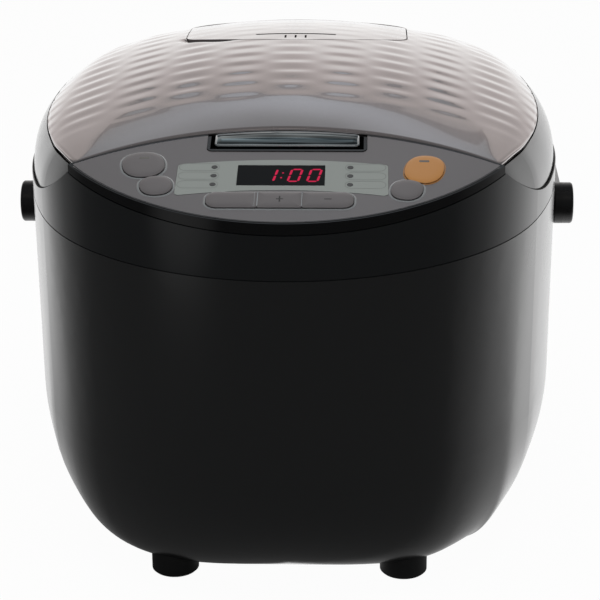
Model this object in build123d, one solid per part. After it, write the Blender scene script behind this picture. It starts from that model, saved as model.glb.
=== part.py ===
from build123d import *
import os
from math import atan, atan2, copysign, cos, degrees, exp, pi, radians, sin, sqrt

# Multicooker with a hinged lid, modelled as its separate pieces.
# Millimetres. +Z is up, the control panel faces -Y and the hinge is at +Y.
# Every piece is made about the body's own centre line; at the end the whole set is moved along Y
# so that the origin lies under the middle of the overall box, on the surface that the feet stand on.

# ---------------------------------------------------------------- driving dimensions
half_width = 138.3        # body outline, centre to side
half_depth = 170.4        # body outline, centre to front
end_radius = 131.5        # plan radius of the rounded front and rear ends
floor_z = 6.4             # underside of the outer shell
seam_z = 175.5            # joint between outer shell and upper ring
rim_z = 186.0             # joint between upper ring and lid along the sides
apex_z = 239.5            # highest point of the lid
apex_y = 20.3             # where the lid is highest

shell_wall = 2.6
shell_taper = 0.7         # how much narrower the shell is where its wall starts to turn under
shell_round = 61.8        # height of the elliptical round between the shell's wall and floor
shell_tuck = 46.0         # how far that round takes the outline in
shell_fullness = 0.18     # how far the floor's outline is squarer than the body's
ring_wall = 3.0
groove = 0.6              # shadow groove along a visible joint
fit = 0.15                # gap between fixed pieces that slide together
running = 0.3             # gap between pieces on different bodies
curve_play = 0.1          # added to that gap along the curved joint between panel and lid

# lid form
lid_inset = 1.2           # the lid's wall stands this far inside the body outline
shoulder_round = 40.0     # height of the elliptical round that turns the wall into the dome
shoulder_tuck = 35.4      # how far a whole quarter of that round would take the outline in
shoulder_lean = 1.41      # forward shift of each higher contour, per millimetre of inset
shoulder_turn = 76.0      # degrees of the shoulder's round that are built
shoulder_fullness = 0.08  # how far its highest contour is squarer at the rear than the body's outline
dome_side_radius = 386.0
dome_rear_radius = 324.0
dome_front_drop = 0.001468
dome_front_spread = 103.0
skin = 2.4                # lid cover and lid frame skins
layer_gap = 0.1           # between the cover and the frame's skin under it
cover_margin = 10.0       # side band of the lid frame left around the cover
cover_gap = 0.25          # half of the joint line round the cover
cover_low_z = 209.0       # the cover's edge nowhere reaches lower

# split between lid and ring, seen from the side: level, then rising in an arc to the panel's corner
split_flat_end_y = -52.0
split_arc_radius = 97.0
split_front_y = -128.0

# control panel
panel_tilt = 12.0
panel_front_z = 204.6
lens_inset = 2.0          # lens edge inside the body outline
lens_rear_y = -85.0       # rear edge of the panel on the centre line
lens_rear_radius = 185.0
lens_thickness = 1.8
tray_floor = 2.0          # floor of the panel frame, under the lens
step_front_z = 198.1      # lower edge of the panel frame at the front
step_slope = 0.24
frame_wall = 2.6

# pot and heater
pot_y = 42.0
pot_radius = 112.0
pot_wall = 1.6
pot_bottom_z = 45.0
pot_corner = 32.0
pot_rim_radius = 118.0
pot_rim_thickness = 2.0
deck_top_z = 182.0
deck_thickness = 3.0
sleeve_radius = 116.0
sleeve_wall = 1.0
sleeve_bottom_z = 62.0
heater_radius = 78.0
heater_thickness = 8.0

# hinge
hinge_y = half_depth + 4.1
hinge_z = 180.0
hinge_barrel = 4.0
hinge_pin_radius = 2.0
hinge_play = 0.05

# carrying handle
pivot_y = 20.0
pivot_z = 148.0
handle_inner_x = 140.9
handle_arm = 4.2
handle_reach = 172.0      # pivot to the middle of the grip
handle_grip = 13.0
handle_height = 13.0
handle_corner = 62.0
handle_eye = 11.2
handle_pin_radius = 4.0
handle_pin_head = 5.6
handle_pin_head_thickness = 2.2
handle_pin_nut = 7.0
handle_pin_nut_thickness = 3.5
handle_washer = 3.0       # space between the shell's wall and the nut
handle_pin_gap = 0.2      # between the arm and the pin's head
cap_thickness = 5.7
cap_round = 1.6
cap_pocket_radius = 6.4
cap_pocket_depth = 3.4    # of the pocket over the pin's head
handle_boss_root = 6.0    # how far the boss goes into the shell's outline

far = 400.0               # longer than the object, for cutting tools
outline_steps = 10        # points along each edge of a squarer outline
shell_steps = 6           # contours of the shell's round
shoulder_steps = 5        # contours of the lid's round
dome_steps = 20           # points each way on the dome's surface
dome_margin_x = 12.0      # how far that surface reaches past the body
dome_margin_y = 20.0
dome_tolerance = 0.02

# ---------------------------------------------------------------- values worked out from them
end_centre = half_depth - end_radius
side_radius = (half_width**2 + end_centre**2 - end_radius**2) / (2 * (half_width - end_radius))
join_angle = atan2(end_centre, side_radius - half_width)
pot_rim_z = deck_top_z + pot_rim_thickness
panel_plane = Plane(
    origin=(0, lens_inset - half_depth, panel_front_z),
    x_dir=(1, 0, 0),
    z_dir=(0, -sin(radians(panel_tilt)), cos(radians(panel_tilt))),
)
deck_bottom_z = deck_top_z - deck_thickness
base_top_z = floor_z + 2 * shell_wall
underside = -lens_thickness - tray_floor    # underside of the tray's floor, from the panel's face


# ---------------------------------------------------------------- shared shapes
def oval(inset=0.0, shift=0.0):
    """The body outline: two end arcs and two side arcs, tangent where they meet."""
    side_x = half_width - inset
    end_y = half_depth - inset
    wide = side_radius - inset
    join_x = half_width - side_radius + wide * cos(join_angle)
    join_y = wide * sin(join_angle)
    arcs = [
        ThreePointArc((join_x, -join_y), (0, -end_y), (-join_x, -join_y)),
        ThreePointArc((-join_x, -join_y), (-side_x, 0), (-join_x, join_y)),
        ThreePointArc((-join_x, join_y), (0, end_y), (join_x, join_y)),
        ThreePointArc((join_x, join_y), (side_x, 0), (join_x, -join_y)),
    ]
    return Pos(0, shift, 0) * make_face(arcs)


def outline_point(angle, inset, fullness):
    """A point of the body outline at a normal's angle, with the corners pushed out by fullness."""
    side = cos(angle) ** 2 > cos(join_angle) ** 2
    centre_x = copysign(1, cos(angle)) * (half_width - side_radius) if side else 0
    centre_y = 0 if side else copysign(end_centre, sin(angle))
    radius = (side_radius if side else end_radius) - inset
    x = centre_x + radius * cos(angle)
    y = centre_y + radius * sin(angle)
    corner = sin(2 * atan2(y / (half_depth - inset), x / (half_width - inset))) ** 2
    return Vector(x, y) * (1 + fullness * corner)


def fuller_oval(inset, fullness, front_fullness, shift=0.0):
    """The body outline with squarer corners, in the same four edges as the plain one."""
    joins = [-pi + join_angle, -join_angle, join_angle, pi - join_angle, pi + join_angle]
    edges = []
    for start, end in zip(joins[:-1], joins[1:]):
        points = []
        for i in range(outline_steps + 1):
            angle = start + (end - start) * i / outline_steps
            rear = sin(angle) > 0
            points.append(outline_point(angle, inset, fullness if rear else front_fullness))
        edges.append(points)
    curves = []
    for i, points in enumerate(edges):
        before = edges[i - 1][-2]
        after = edges[(i + 1) % len(edges)][1]
        curves.append(Spline(*points, tangents=(points[1] - before, after - points[-2])))
    return Pos(0, shift, 0) * make_face(curves)


def prism(face, low, high):
    """A plan shape raised between two heights."""
    return extrude(Pos(0, 0, low) * face, high - low)


def tube(outer, inner, low, high):
    return prism(Circle(outer), low, high) - prism(Circle(inner), low - 1, high + 1)


def rod_along_x(radius, start, end, y, z):
    return Pos(start, y, z) * Rot(0, 90, 0) * extrude(Circle(radius), end - start)


def on_panel(shape, low, high):
    """A shape drawn on the panel's face, raised between two distances from that face."""
    return panel_plane * (Pos(0, 0, low) * extrude(shape, high - low))


def below_panel(depth=0.0):
    """All that lies under the panel's face, moved down by depth."""
    return on_panel(Rectangle(2 * far, 2 * far), -far, -depth)


def lens_disc(offset=0.0):
    """The region in front of the lid's front edge."""
    return Pos(0, lens_rear_y - lens_rear_radius, 0) * Circle(lens_rear_radius + offset)


def above_split(offset=0.0):
    """All that lies above the joint between lid and ring, moved up by offset."""
    arc_centre_z = rim_z + split_arc_radius
    run = split_flat_end_y - split_front_y
    front_z = arc_centre_z - sqrt(split_arc_radius**2 - run**2)
    start = (split_flat_end_y, rim_z)
    middle = (split_flat_end_y - run / 2, arc_centre_z - sqrt(split_arc_radius**2 - (run / 2) ** 2))
    end = (split_front_y, front_z)
    outline = [
        Line((far, rim_z), start),
        ThreePointArc(start, middle, end),
        Line(end, (-far, front_z)),
        Line((-far, front_z), (-far, far)),
        Line((-far, far), (far, far)),
        Line((far, far), (far, rim_z)),
    ]
    side_view = Plane(origin=(-far, 0, offset), x_dir=(0, 1, 0), z_dir=(1, 0, 0))
    return extrude(side_view * make_face(outline), 2 * far)


def above_step():
    """All that lies above the joint between ring and panel frame."""
    angle = degrees(atan(step_slope))
    plane = Plane(origin=(0, -half_depth, step_front_z), x_dir=(1, 0, 0),
                  z_dir=(0, -sin(radians(angle)), cos(radians(angle))))
    return plane * extrude(Rectangle(2 * far, 2 * far), far)


def body_form(inset=0.0):
    """The shell's outer form: a nearly upright wall, then an elliptical turn under into a squarer floor."""
    floor = floor_z + inset
    height = shell_round - inset
    contours = []
    for i in range(shell_steps + 1):
        turn = pi / 2 * i / shell_steps
        in_by = inset + shell_taper + (shell_tuck - inset) * (1 - cos(turn))
        fullness = shell_fullness * (1 - cos(turn))
        contour = fuller_oval(in_by, fullness, fullness)
        contours.append(Pos(0, 0, floor + height * (1 - sin(turn))) * contour)
    wall = loft([Pos(0, 0, seam_z) * oval(inset), contours[0]])
    return wall + loft(contours)


def dome_height(x, y):
    """Height of the lid's top: round to the rear, and flatter towards its two front corners."""
    behind = y - apex_y
    bend = 1 / (2 * dome_rear_radius)
    if behind < 0:
        bend = dome_front_drop * exp(-(x / dome_front_spread) ** 2)
    return apex_z - x * x / (2 * dome_side_radius) - bend * behind * behind


def dome(drop=0.0):
    """All that lies under the lid's top surface, lowered by drop."""
    reach_x = half_width + dome_margin_x
    reach_y = half_depth + dome_margin_y
    rows = []
    for j in range(dome_steps + 1):
        y = -reach_y + 2 * reach_y * j / dome_steps
        xs = [-reach_x + 2 * reach_x * i / dome_steps for i in range(dome_steps + 1)]
        rows.append([Vector(x, y, dome_height(x, y) - drop) for x in xs])
    top = Face.make_surface_from_array_of_points(rows, tol=dome_tolerance)
    return extrude(top, apex_z / 2, dir=(0, 0, -1))


def shoulder(inset):
    """The lid's upright wall and the round above it, as a closed block without the dome."""
    contours = []
    for i in range(shoulder_steps + 1):
        turn = radians(shoulder_turn) * i / shoulder_steps
        in_by = shoulder_tuck * (1 - cos(turn))
        fullness = shoulder_fullness * (1 - cos(turn))
        contour = fuller_oval(inset + in_by, fullness, 0, -shoulder_lean * in_by)
        contours.append(Pos(0, 0, rim_z + shoulder_round * sin(turn)) * contour)
    wall = prism(oval(inset), seam_z, rim_z)
    return wall + loft(contours) + extrude(contours[-1], apex_z / 4)


def lid_form(depth=0.0):
    """The lid's whole outer form, taken in by depth on every side."""
    return shoulder(lid_inset + depth) & dome(depth)


def cover_outline(offset=0.0):
    """The plan of the cover: the shoulder's contour at the cover's margin."""
    fullness = shoulder_fullness * cover_margin / shoulder_tuck
    return fuller_oval(lid_inset + cover_margin - offset, fullness, 0, -shoulder_lean * cover_margin)


# ---------------------------------------------------------------- base and outer shell
base_opening = 58.0       # inset of the opening in the shell's floor
base_overlap = 8.0        # how far the base plate laps over that opening's edge
foot_radius = 12.0
foot_x = 58.4
foot_y = 124.5
foot_chamfer = 0.8
base_screw_inset = 53.0
screw_head_radius = 3.2
screw_head_height = 1.8
screw_radius = 1.5
screw_slot_length = 4.0
screw_slot_width = 0.8
screw_slot_depth = 0.8
boss_radius = 4.0         # of the posts that screws go into
boss_height = 5.0
pilot_depth = 3.0         # of the hole in a base boss
screw_grip = 2.0          # how far a base screw goes into its boss

inlet_width = 33.0
inlet_height = 22.0
inlet_depth = 13.0
inlet_flange = 4.0        # how much larger the inlet's inner flange is
inlet_flange_thickness = 1.5
inlet_z = 44.0
inlet_face_y = 161.5
socket_width = 24.4
socket_height = 17.0
socket_depth = 11.5
socket_chamfer = 4.0
pin_width = 2.0
pin_height = 4.0
pin_recess = 3.0          # how far the pins stay behind the socket's face
pin_places = ((-7.0, -2.0), (0.0, 3.0), (7.0, -2.0))

handle_boss_radius = 10.6
handle_boss_x = handle_inner_x - running


def foot_places():
    return [(sx * foot_x, sy * foot_y) for sx in (-1, 1) for sy in (-1, 1)]


def base_screw_places():
    side = half_width - base_screw_inset
    end = half_depth - base_screw_inset
    return [(-side, 0), (side, 0), (0, -end), (0, end)]


def outer_shell(form):
    shell = form - body_form(shell_wall)
    shell -= prism(oval(base_opening), 0, floor_z + 2 * shell_wall)
    shell -= Pos(0, half_depth, inlet_z) * Box(inlet_width + 2 * fit, 4 * inlet_depth, inlet_height + 2 * fit)
    for x, y in base_screw_places():
        shell -= Pos(x, y, 0) * extrude(Circle(screw_radius), base_top_z)
    shell -= rod_along_x(handle_pin_radius, -half_width, half_width, pivot_y, pivot_z)
    return shell


board_x = 50.0
board_front_y = -112.0
board_rear_y = -60.0
board_thickness = 1.6
standoff_height = 6.0
standoff_radius = 3.0
power_board_z = base_top_z + standoff_height
standoff_inset = 6.0      # from the board's edges
sensor_guide_radius = 8.0
sensor_guide_height = 10.0
sensor_stem_radius = 5.0
air_slot_length = 46.0
air_slot_width = 4.0
air_slot_x = 45.0
air_slot_pitch = 14.0
air_slot_count = 6        # on each side


def standoff_places():
    ys = (board_front_y + standoff_inset, board_rear_y - standoff_inset)
    return [(sx * (board_x - standoff_inset), y) for sx in (-1, 1) for y in ys]


def base_plate():
    plate = prism(oval(base_opening - base_overlap), floor_z + shell_wall, base_top_z)
    for x, y in base_screw_places():
        plate += Pos(x, y, base_top_z) * extrude(Circle(boss_radius), boss_height)
        plate -= Pos(x, y, 0) * extrude(Circle(screw_radius), base_top_z + pilot_depth)
    for x, y in standoff_places():
        plate += Pos(x, y, base_top_z) * extrude(Circle(standoff_radius), standoff_height)
    plate += Pos(0, pot_y, base_top_z) * extrude(Circle(sensor_guide_radius), sensor_guide_height)
    plate -= Pos(0, pot_y, 0) * extrude(Circle(sensor_stem_radius + fit), far)
    slot = extrude(SlotOverall(air_slot_length, air_slot_width), base_top_z + 1)
    for side in (-1, 1):
        for row in range(air_slot_count):
            y = pot_y + (row - (air_slot_count - 1) / 2) * air_slot_pitch
            plate -= Pos(side * air_slot_x, y, 0) * slot
    return plate


def feet(form):
    foot = chamfer(extrude(Circle(foot_radius), 4 * floor_z).edges().group_by(Axis.Z)[0], foot_chamfer)
    return [Pos(x, y, 0) * foot - form for x, y in foot_places()]


def base_screws():
    low = floor_z - screw_head_height
    head = Pos(0, 0, low) * extrude(Circle(screw_head_radius), screw_head_height)
    shaft = Pos(0, 0, floor_z) * extrude(Circle(screw_radius), base_top_z + screw_grip - floor_z)
    screw = head + shaft - Pos(0, 0, low) * Box(screw_slot_length, screw_slot_width, 2 * screw_slot_depth)
    return [Pos(x, y, 0) * screw for x, y in base_screw_places()]


def power_inlet():
    block = Pos(0, inlet_face_y - inlet_depth / 2, inlet_z) * Box(inlet_width, inlet_depth, inlet_height)
    hollow = Box(socket_width, socket_depth, socket_height)
    hollow = chamfer(hollow.edges().filter_by(Axis.Y).group_by(Axis.Z)[-1], socket_chamfer)
    flange = Box(inlet_width + inlet_flange, inlet_flange_thickness, inlet_height + inlet_flange)
    block += Pos(0, inlet_face_y - inlet_depth + inlet_flange_thickness / 2, inlet_z) * flange
    return block - Pos(0, inlet_face_y - socket_depth / 2, inlet_z) * hollow


def inlet_pins():
    length = socket_depth - pin_recess
    y = inlet_face_y - socket_depth + length / 2
    return [Pos(x, y, inlet_z + rise) * Box(pin_width, length, pin_height) for x, rise in pin_places]


# ---------------------------------------------------------------- inside the shell
def inner_sleeve():
    return Pos(0, pot_y, 0) * tube(sleeve_radius, sleeve_radius - sleeve_wall, sleeve_bottom_z, deck_bottom_z)


def inner_pot():
    """A round bowl with a flat rim, turned from one sheet."""
    inner = pot_radius - pot_wall
    flat_radius = pot_radius - pot_corner
    corner_z = pot_bottom_z + pot_corner
    floor_top = pot_bottom_z + pot_wall
    with_rim = [
        Line((0, pot_bottom_z), (flat_radius, pot_bottom_z)),
        RadiusArc((flat_radius, pot_bottom_z), (pot_radius, corner_z), -pot_corner),
        Line((pot_radius, corner_z), (pot_radius, deck_top_z)),
        Line((pot_radius, deck_top_z), (pot_rim_radius, deck_top_z)),
        Line((pot_rim_radius, deck_top_z), (pot_rim_radius, pot_rim_z)),
        Line((pot_rim_radius, pot_rim_z), (inner, pot_rim_z)),
        Line((inner, pot_rim_z), (inner, corner_z)),
        RadiusArc((inner, corner_z), (flat_radius, floor_top), pot_corner - pot_wall),
        Line((flat_radius, floor_top), (0, floor_top)),
        Line((0, floor_top), (0, pot_bottom_z)),
    ]
    return Pos(0, pot_y, 0) * revolve(Plane.XZ * make_face(with_rim), Axis.Z)


sensor_radius = 12.0
sensor_gap = 1.0          # between the sensor and the heating plate round it
sensor_rise = 1.0         # the sensor's cap starts this far over the plate's underside
sensor_drop = 0.1         # and stops this far under the pot
sensor_foot = 4.0         # of its stem, over the base plate
element_circle = 58.5
element_radius = 4.0
heater_bottom_z = pot_bottom_z - heater_thickness
heater_post_radius = 5.0
heater_post_circle = 60.0


def heating_element():
    return Pos(0, 0, heater_bottom_z) * Torus(element_circle, element_radius)


def heating_plate():
    plate = tube(heater_radius, sensor_radius + sensor_gap, heater_bottom_z, pot_bottom_z)
    return Pos(0, pot_y, 0) * (plate + heating_element())


def heater_posts():
    post = extrude(Circle(heater_post_radius), heater_bottom_z - base_top_z)
    post = Pos(heater_post_circle, 0, base_top_z) * post
    return [Pos(0, pot_y, 0) * (Rot(0, 0, 120 * i + 90) * post - heating_element()) for i in range(3)]


def temperature_sensor():
    cap_height = heater_thickness - sensor_rise - sensor_drop
    cap = Pos(0, pot_y, heater_bottom_z + sensor_rise) * extrude(Circle(sensor_radius), cap_height)
    stem = extrude(Circle(sensor_stem_radius), heater_bottom_z - base_top_z)
    return cap + Pos(0, pot_y, base_top_z + sensor_foot) * stem


part_margin = 2.0         # from the board's front edge to the parts on it
transformer_x = -24.0
core_size = (32.0, 26.0, 28.0)
winding_size = (22.0, 32.0, 20.0)
relay_x = 10.0
relay_size = (20.0, 16.0, 16.0)
capacitor_x = (29.0, 43.0)
capacitor_y = 12.0        # from the board's front edge
capacitor_radius = 6.0
capacitor_height = 22.0


def power_board():
    depth = board_rear_y - board_front_y
    middle = (board_rear_y + board_front_y) / 2
    return Pos(0, middle, power_board_z + board_thickness / 2) * Box(2 * board_x, depth, board_thickness)


def board_part(x, width, depth, height):
    """A component standing on the power board, in front of the sleeve."""
    top = power_board_z + board_thickness
    y = board_front_y + part_margin + depth / 2
    return Pos(x, y, top + height / 2) * Box(width, depth, height)


def transformer():
    y = board_front_y + part_margin + core_size[1] / 2
    z = power_board_z + board_thickness + core_size[2] / 2
    return board_part(transformer_x, *core_size) + Pos(transformer_x, y, z) * Box(*winding_size)


def relay():
    return board_part(relay_x, *relay_size)


def capacitors():
    top = power_board_z + board_thickness
    y = board_front_y + capacitor_y
    return [Pos(x, y, top) * extrude(Circle(capacitor_radius), capacitor_height) for x in capacitor_x]


# ---------------------------------------------------------------- upper ring and deck
tongue = 5.0              # how far the ring's tongue goes down inside the shell
tongue_wall = 2.2
tongue_play = fit + 0.07  # the shell narrows a little over the tongue's depth
ledge = 4.0               # the ring's step that the deck lies on
ledge_root = 0.5          # how far the ledge goes into the ring's wall
pot_play = 1.5            # between the pot and the deck's hole
bay_margin = 4.0          # between the ledge and the deck's front bay
bay_rear = 8.0            # between the panel frame's rear wall and that bay


def upper_ring():
    """The collar over the shell: low at the sides, higher in front where it carries the panel."""
    wall = prism(oval(), seam_z, panel_front_z + 20) - prism(oval(ring_wall), seam_z - 1, far)
    beside = wall - prism(lens_disc(), 0, far) - above_split(-running / 2)
    front = (wall & prism(lens_disc(), 0, far)) - above_step()
    ring = beside + front
    ring -= prism(oval(-1) - oval(groove), seam_z - 1, seam_z + groove)
    lip_inset = shell_wall + tongue_play
    ring += prism(oval(lip_inset), seam_z - tongue, seam_z) - prism(oval(lip_inset + tongue_wall), 0, far)
    ledge_outline = oval(ring_wall - ledge_root)
    ring += prism(ledge_outline, seam_z, deck_bottom_z) - prism(oval(ring_wall + ledge), 0, far)
    return ring


def deck():
    """The plate inside the ring that carries the pot by its rim."""
    plate = prism(oval(ring_wall + fit), deck_bottom_z, deck_top_z)
    hole = Pos(0, pot_y, 0) * extrude(Circle(pot_radius + pot_play), far)
    front_bay = oval(ring_wall + ledge + bay_margin) & lens_disc(-frame_wall - bay_rear)
    return plate - hole - prism(front_bay, 0, far)


# ---------------------------------------------------------------- control panel
latch_width = 70.6
latch_front_v = 67.6
latch_recess_width = 78.0
latch_recess_front_v = 64.0
latch_recess_corner = 3.0
latch_well = 14.0         # depth of the latch's opening under the tray's floor
latch_reach = 40.0        # how far the latch's shapes are drawn before the rear edge trims them
latch_travel = 2.5
latch_clearance = 0.4     # left under the button when it is pressed
latch_guard = 1.7         # wall of the bezel round the latch button
bezel_depth = 4.0         # from the tray's floor to the bezel's floor
bezel_floor = 1.6
bezel_proud = 0.4
lever_v = 74.0
lever_width = 22.0
lever_depth = 7.0
lever_bottom = -16.0
lever_gap = 1.0           # round the lever in the bezel's floor
label_width = 100.6
label_u = -1.3
label_height = 28.0
label_corner = 2.0
label_middle_v = 42.0
label_bow_radius = 260.0
label_thickness = 0.5
label_proud = 0.1
window_width = 41.6
window_height = 18.6
window_ledge = 1.5        # of the frame under the window's edge
module_inset_u = 1.8      # the display module inside the window's outline
module_inset_v = 2.5
module_gap = 0.4          # between the module and the window
window_u = -1.9
window_v = 41.6
light_u = (-34.0, 31.0)
light_v = (49.0, 41.0, 33.0)
light_radius = 1.1
light_drop = 0.1          # the lights' ends lie under the label's face
lens_hole_gap = 0.2       # round a light in the lens and the label
frame_hole_gap = 0.3      # and in the frame
key_travel = 0.5
key_gap = 0.3
key_frame_gap = 0.5       # round a key in the frame
key_proud = 0.7
key_round = 0.5
key_flange = 1.2
key_stem_radius = 1.6
key_stem_gap = 0.1        # left over the switch at the end of the press
wing_reach = 1.0          # of a round key's flange, past its cap at each side
strip_wing_reach = 1.3    # of a strip key's flange, past its cap at front and rear
strip_v = 18.4
strip_height = 13.6
strip_corner = 5.0
strip_left_u = -36.2
strip_right_u = 32.8
strip_join_u = (-12.3, 8.8)
board_face = -12.0        # face of the control board, from the panel's face
board_inset = 9.0
board_rear_gap = 3.0      # behind the control board, from the frame's rear wall
board_v = 38.0
board_width = 178.0
board_depth = 60.0
board_post_radius = 3.0
board_posts = ((-75.0, 36.0), (75.0, 34.0), (-50.0, 62.0), (50.0, 62.0))
switch_height = 3.2
switch_size = 6.0
switch_button_radius = 1.7
switch_button_height = 1.0
skirt_play = 0.4          # the skirt is thicker than the frame's wall by this
rear_lip = 1.0            # of the frame, showing behind the lens

oval_keys = {
    "key_cancel": (-68.3, 50.4, 19.8, 22.8),
    "key_delay": (-60.8, 31.2, 15.0, 17.0),
    "key_start": (66.3, 46.8, 18.2, 25.2),
    "key_menu": (57.9, 28.0, 14.4, 17.8),
}


def key_outline(name, offset=0.0):
    """A key's outline on the panel, grown by offset all round."""
    if name in oval_keys:
        u, v, width, height = oval_keys[name]
        return Pos(u, v) * Ellipse(width / 2 + offset, height / 2 + offset)
    edges = [strip_left_u, *strip_join_u, strip_right_u]
    place = ("key_time", "key_plus", "key_minus").index(name)
    low = edges[place] + key_gap / 2
    high = edges[place + 1] - key_gap / 2
    shape = Rectangle(high - low + 2 * offset, strip_height + 2 * offset)
    corner = strip_corner + offset
    if place == 0:
        shape = fillet(shape.vertices().group_by(Axis.X)[0], corner)
    if place == 2:
        shape = fillet(shape.vertices().group_by(Axis.X)[-1], corner)
    return Pos((low + high) / 2, strip_v) * shape


key_names = [*oval_keys, "key_time", "key_plus", "key_minus"]


def key_place(name):
    box = key_outline(name).bounding_box()
    return (box.min.X + box.max.X) / 2, (box.min.Y + box.max.Y) / 2, box.size.X, box.size.Y


def strip_outline(offset=0.0):
    width = strip_right_u - strip_left_u + 2 * offset
    middle = (strip_right_u + strip_left_u) / 2
    return Pos(middle, strip_v) * RectangleRounded(width, strip_height + 2 * offset, strip_corner + offset)


def label_outline(offset=0.0):
    """The display label: a rectangle bowed along two concentric arcs."""
    centre_v = label_middle_v - label_bow_radius
    half = label_height / 2 + offset
    band = Circle(label_bow_radius + half) - Circle(label_bow_radius - half)
    sides = Pos(0, label_bow_radius) * Rectangle(label_width + 2 * offset, 4 * label_height)
    shape = band & sides
    return Pos(label_u, centre_v) * fillet(shape.vertices(), label_corner)


def window_outline(offset=0.0):
    return Pos(window_u, window_v) * Rectangle(window_width + 2 * offset, window_height + 2 * offset)


def light_places():
    return [(u, v) for u in light_u for v in light_v]


def light_holes(offset):
    return Sketch() + [Pos(u, v) * Circle(light_radius + offset) for u, v in light_places()]


def latch_recess(offset=0.0):
    """The opening for the latch, open to the lid side."""
    shape = Rectangle(latch_recess_width + 2 * offset, latch_reach + offset)
    shape = fillet(shape.vertices().group_by(Axis.Y)[0], latch_recess_corner)
    return Pos(0, latch_recess_front_v + latch_reach / 2 - offset / 2) * shape


def key_openings(offset):
    shapes = [key_outline(name, offset) for name in oval_keys]
    return Sketch() + shapes + [strip_outline(offset)]


def panel_frame():
    """The black frame that holds the lens: a tray with a skirt in front and a wall behind."""
    rear_edge = -running - curve_play
    whole = oval() & lens_disc(rear_edge)
    inside = oval(frame_wall + skirt_play) & lens_disc(rear_edge - frame_wall)
    skirt = (prism(whole, deck_top_z, far) - prism(inside, 0, far)) & above_step()
    floor = prism(whole, deck_top_z, far) & below_panel(lens_thickness)
    floor -= below_panel(-underside)
    floor = floor & above_step()
    rear = prism(oval(ring_wall + fit) & lens_disc(rear_edge), deck_top_z, far)
    rear -= prism(lens_disc(rear_edge - frame_wall), 0, far)
    frame = (skirt + floor + rear) & below_panel()
    frame -= on_panel(key_openings(key_frame_gap), -far, far)
    frame -= on_panel(window_outline(-window_ledge), -far, far)
    frame -= on_panel(light_holes(frame_hole_gap), -far, far)
    frame -= on_panel(latch_recess(), underside - latch_well, far)
    lens_bed = prism(oval(lens_inset - fit) & lens_disc(rear_edge - rear_lip), 0, far)
    frame -= lens_bed & on_panel(Rectangle(2 * far, 2 * far), -lens_thickness, far)
    groove_band = prism(oval(-1) - oval(groove), 0, far)
    step_low = above_step() - Pos(0, 0, groove) * above_step()
    frame -= groove_band & step_low
    for u, v in board_posts:
        frame += on_panel(Pos(u, v) * Circle(board_post_radius), board_face, underside)
    return frame


def control_panel():
    """The grey lens with its openings."""
    rear_edge = -running - curve_play - rear_lip - fit
    plan = prism(oval(lens_inset) & lens_disc(rear_edge), 0, far)
    lens = plan & on_panel(Rectangle(2 * far, 2 * far), -lens_thickness, 0)
    lens -= on_panel(key_openings(key_gap), -far, far)
    lens -= on_panel(window_outline(fit), -far, far)
    lens -= on_panel(light_holes(lens_hole_gap), -far, far)
    lens -= on_panel(latch_recess(), -far, far)
    lens -= on_panel(label_outline(fit), label_proud - label_thickness, far)
    return lens


def display_label():
    label = on_panel(label_outline(), label_proud - label_thickness, label_proud)
    label -= on_panel(window_outline(fit), -far, far)
    return label - on_panel(light_holes(lens_hole_gap), -far, far)


def display_window():
    return on_panel(window_outline(), -lens_thickness, label_proud)


def display_module():
    outline = Rectangle(window_width - 2 * module_inset_u, window_height - 2 * module_inset_v)
    return on_panel(Pos(window_u, window_v) * outline, board_face, -lens_thickness - module_gap)


def indicator_lights():
    top = label_proud - light_drop
    return [on_panel(Pos(u, v) * Circle(light_radius), board_face, top) for u, v in light_places()]


def control_board():
    outline = Pos(0, board_v) * Rectangle(board_width, board_depth)
    board = on_panel(outline, board_face - board_thickness, board_face)
    board = board & prism(oval(board_inset) & lens_disc(-running - frame_wall - board_rear_gap), 0, far)
    for u, v in board_posts:
        board -= on_panel(Pos(u, v) * Circle(screw_radius), -far, far)
    return board


def key_switches():
    switches = []
    top = board_face + switch_height
    shoulder_top = top - switch_button_height
    for name in key_names:
        u, v, _, _ = key_place(name)
        base = on_panel(Pos(u, v) * Rectangle(switch_size, switch_size), board_face, shoulder_top)
        button = on_panel(Pos(u, v) * Circle(switch_button_radius), shoulder_top, top)
        switches.append(base + button)
    return switches


def board_screws():
    screws = []
    for u, v in board_posts:
        low = board_face - board_thickness
        head = on_panel(Pos(u, v) * Circle(screw_head_radius), low - screw_head_height, low)
        screws.append(head + on_panel(Pos(u, v) * Circle(screw_radius), low, board_face))
    return screws


def key(name):
    """A key cap with a retaining flange under the frame's floor and a stem over its switch."""
    u, v, width, height = key_place(name)
    flange_top = underside - running
    flange_bottom = flange_top - key_flange
    stem_end = board_face + switch_height + key_travel + key_stem_gap
    cap = on_panel(key_outline(name), flange_bottom, key_proud)
    cap = fillet(cap.faces().filter_by(panel_plane).sort_by(Axis.Z)[-1].edges(), key_round)
    if name in oval_keys:
        wings = Rectangle(width + 2 * wing_reach, height / 3)
    else:
        wings = Rectangle(width / 2, height + 2 * strip_wing_reach)
    flange = on_panel(Pos(u, v) * wings, flange_bottom, flange_top)
    stem = on_panel(Pos(u, v) * Circle(key_stem_radius), stem_end, flange_bottom)
    return cap + flange + stem


# ---------------------------------------------------------------- lid latch
latch_top = 1.6           # the button's top over the panel's face
latch_round = 0.9
latch_bottom = underside - bezel_depth + latch_travel + latch_clearance
latch_rear_gap = 0.5      # between the button and the frame's rear wall


def lever_outline(offset=0.0):
    return Pos(0, lever_v) * Rectangle(lever_width + 2 * offset, lever_depth + 2 * offset)


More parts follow.
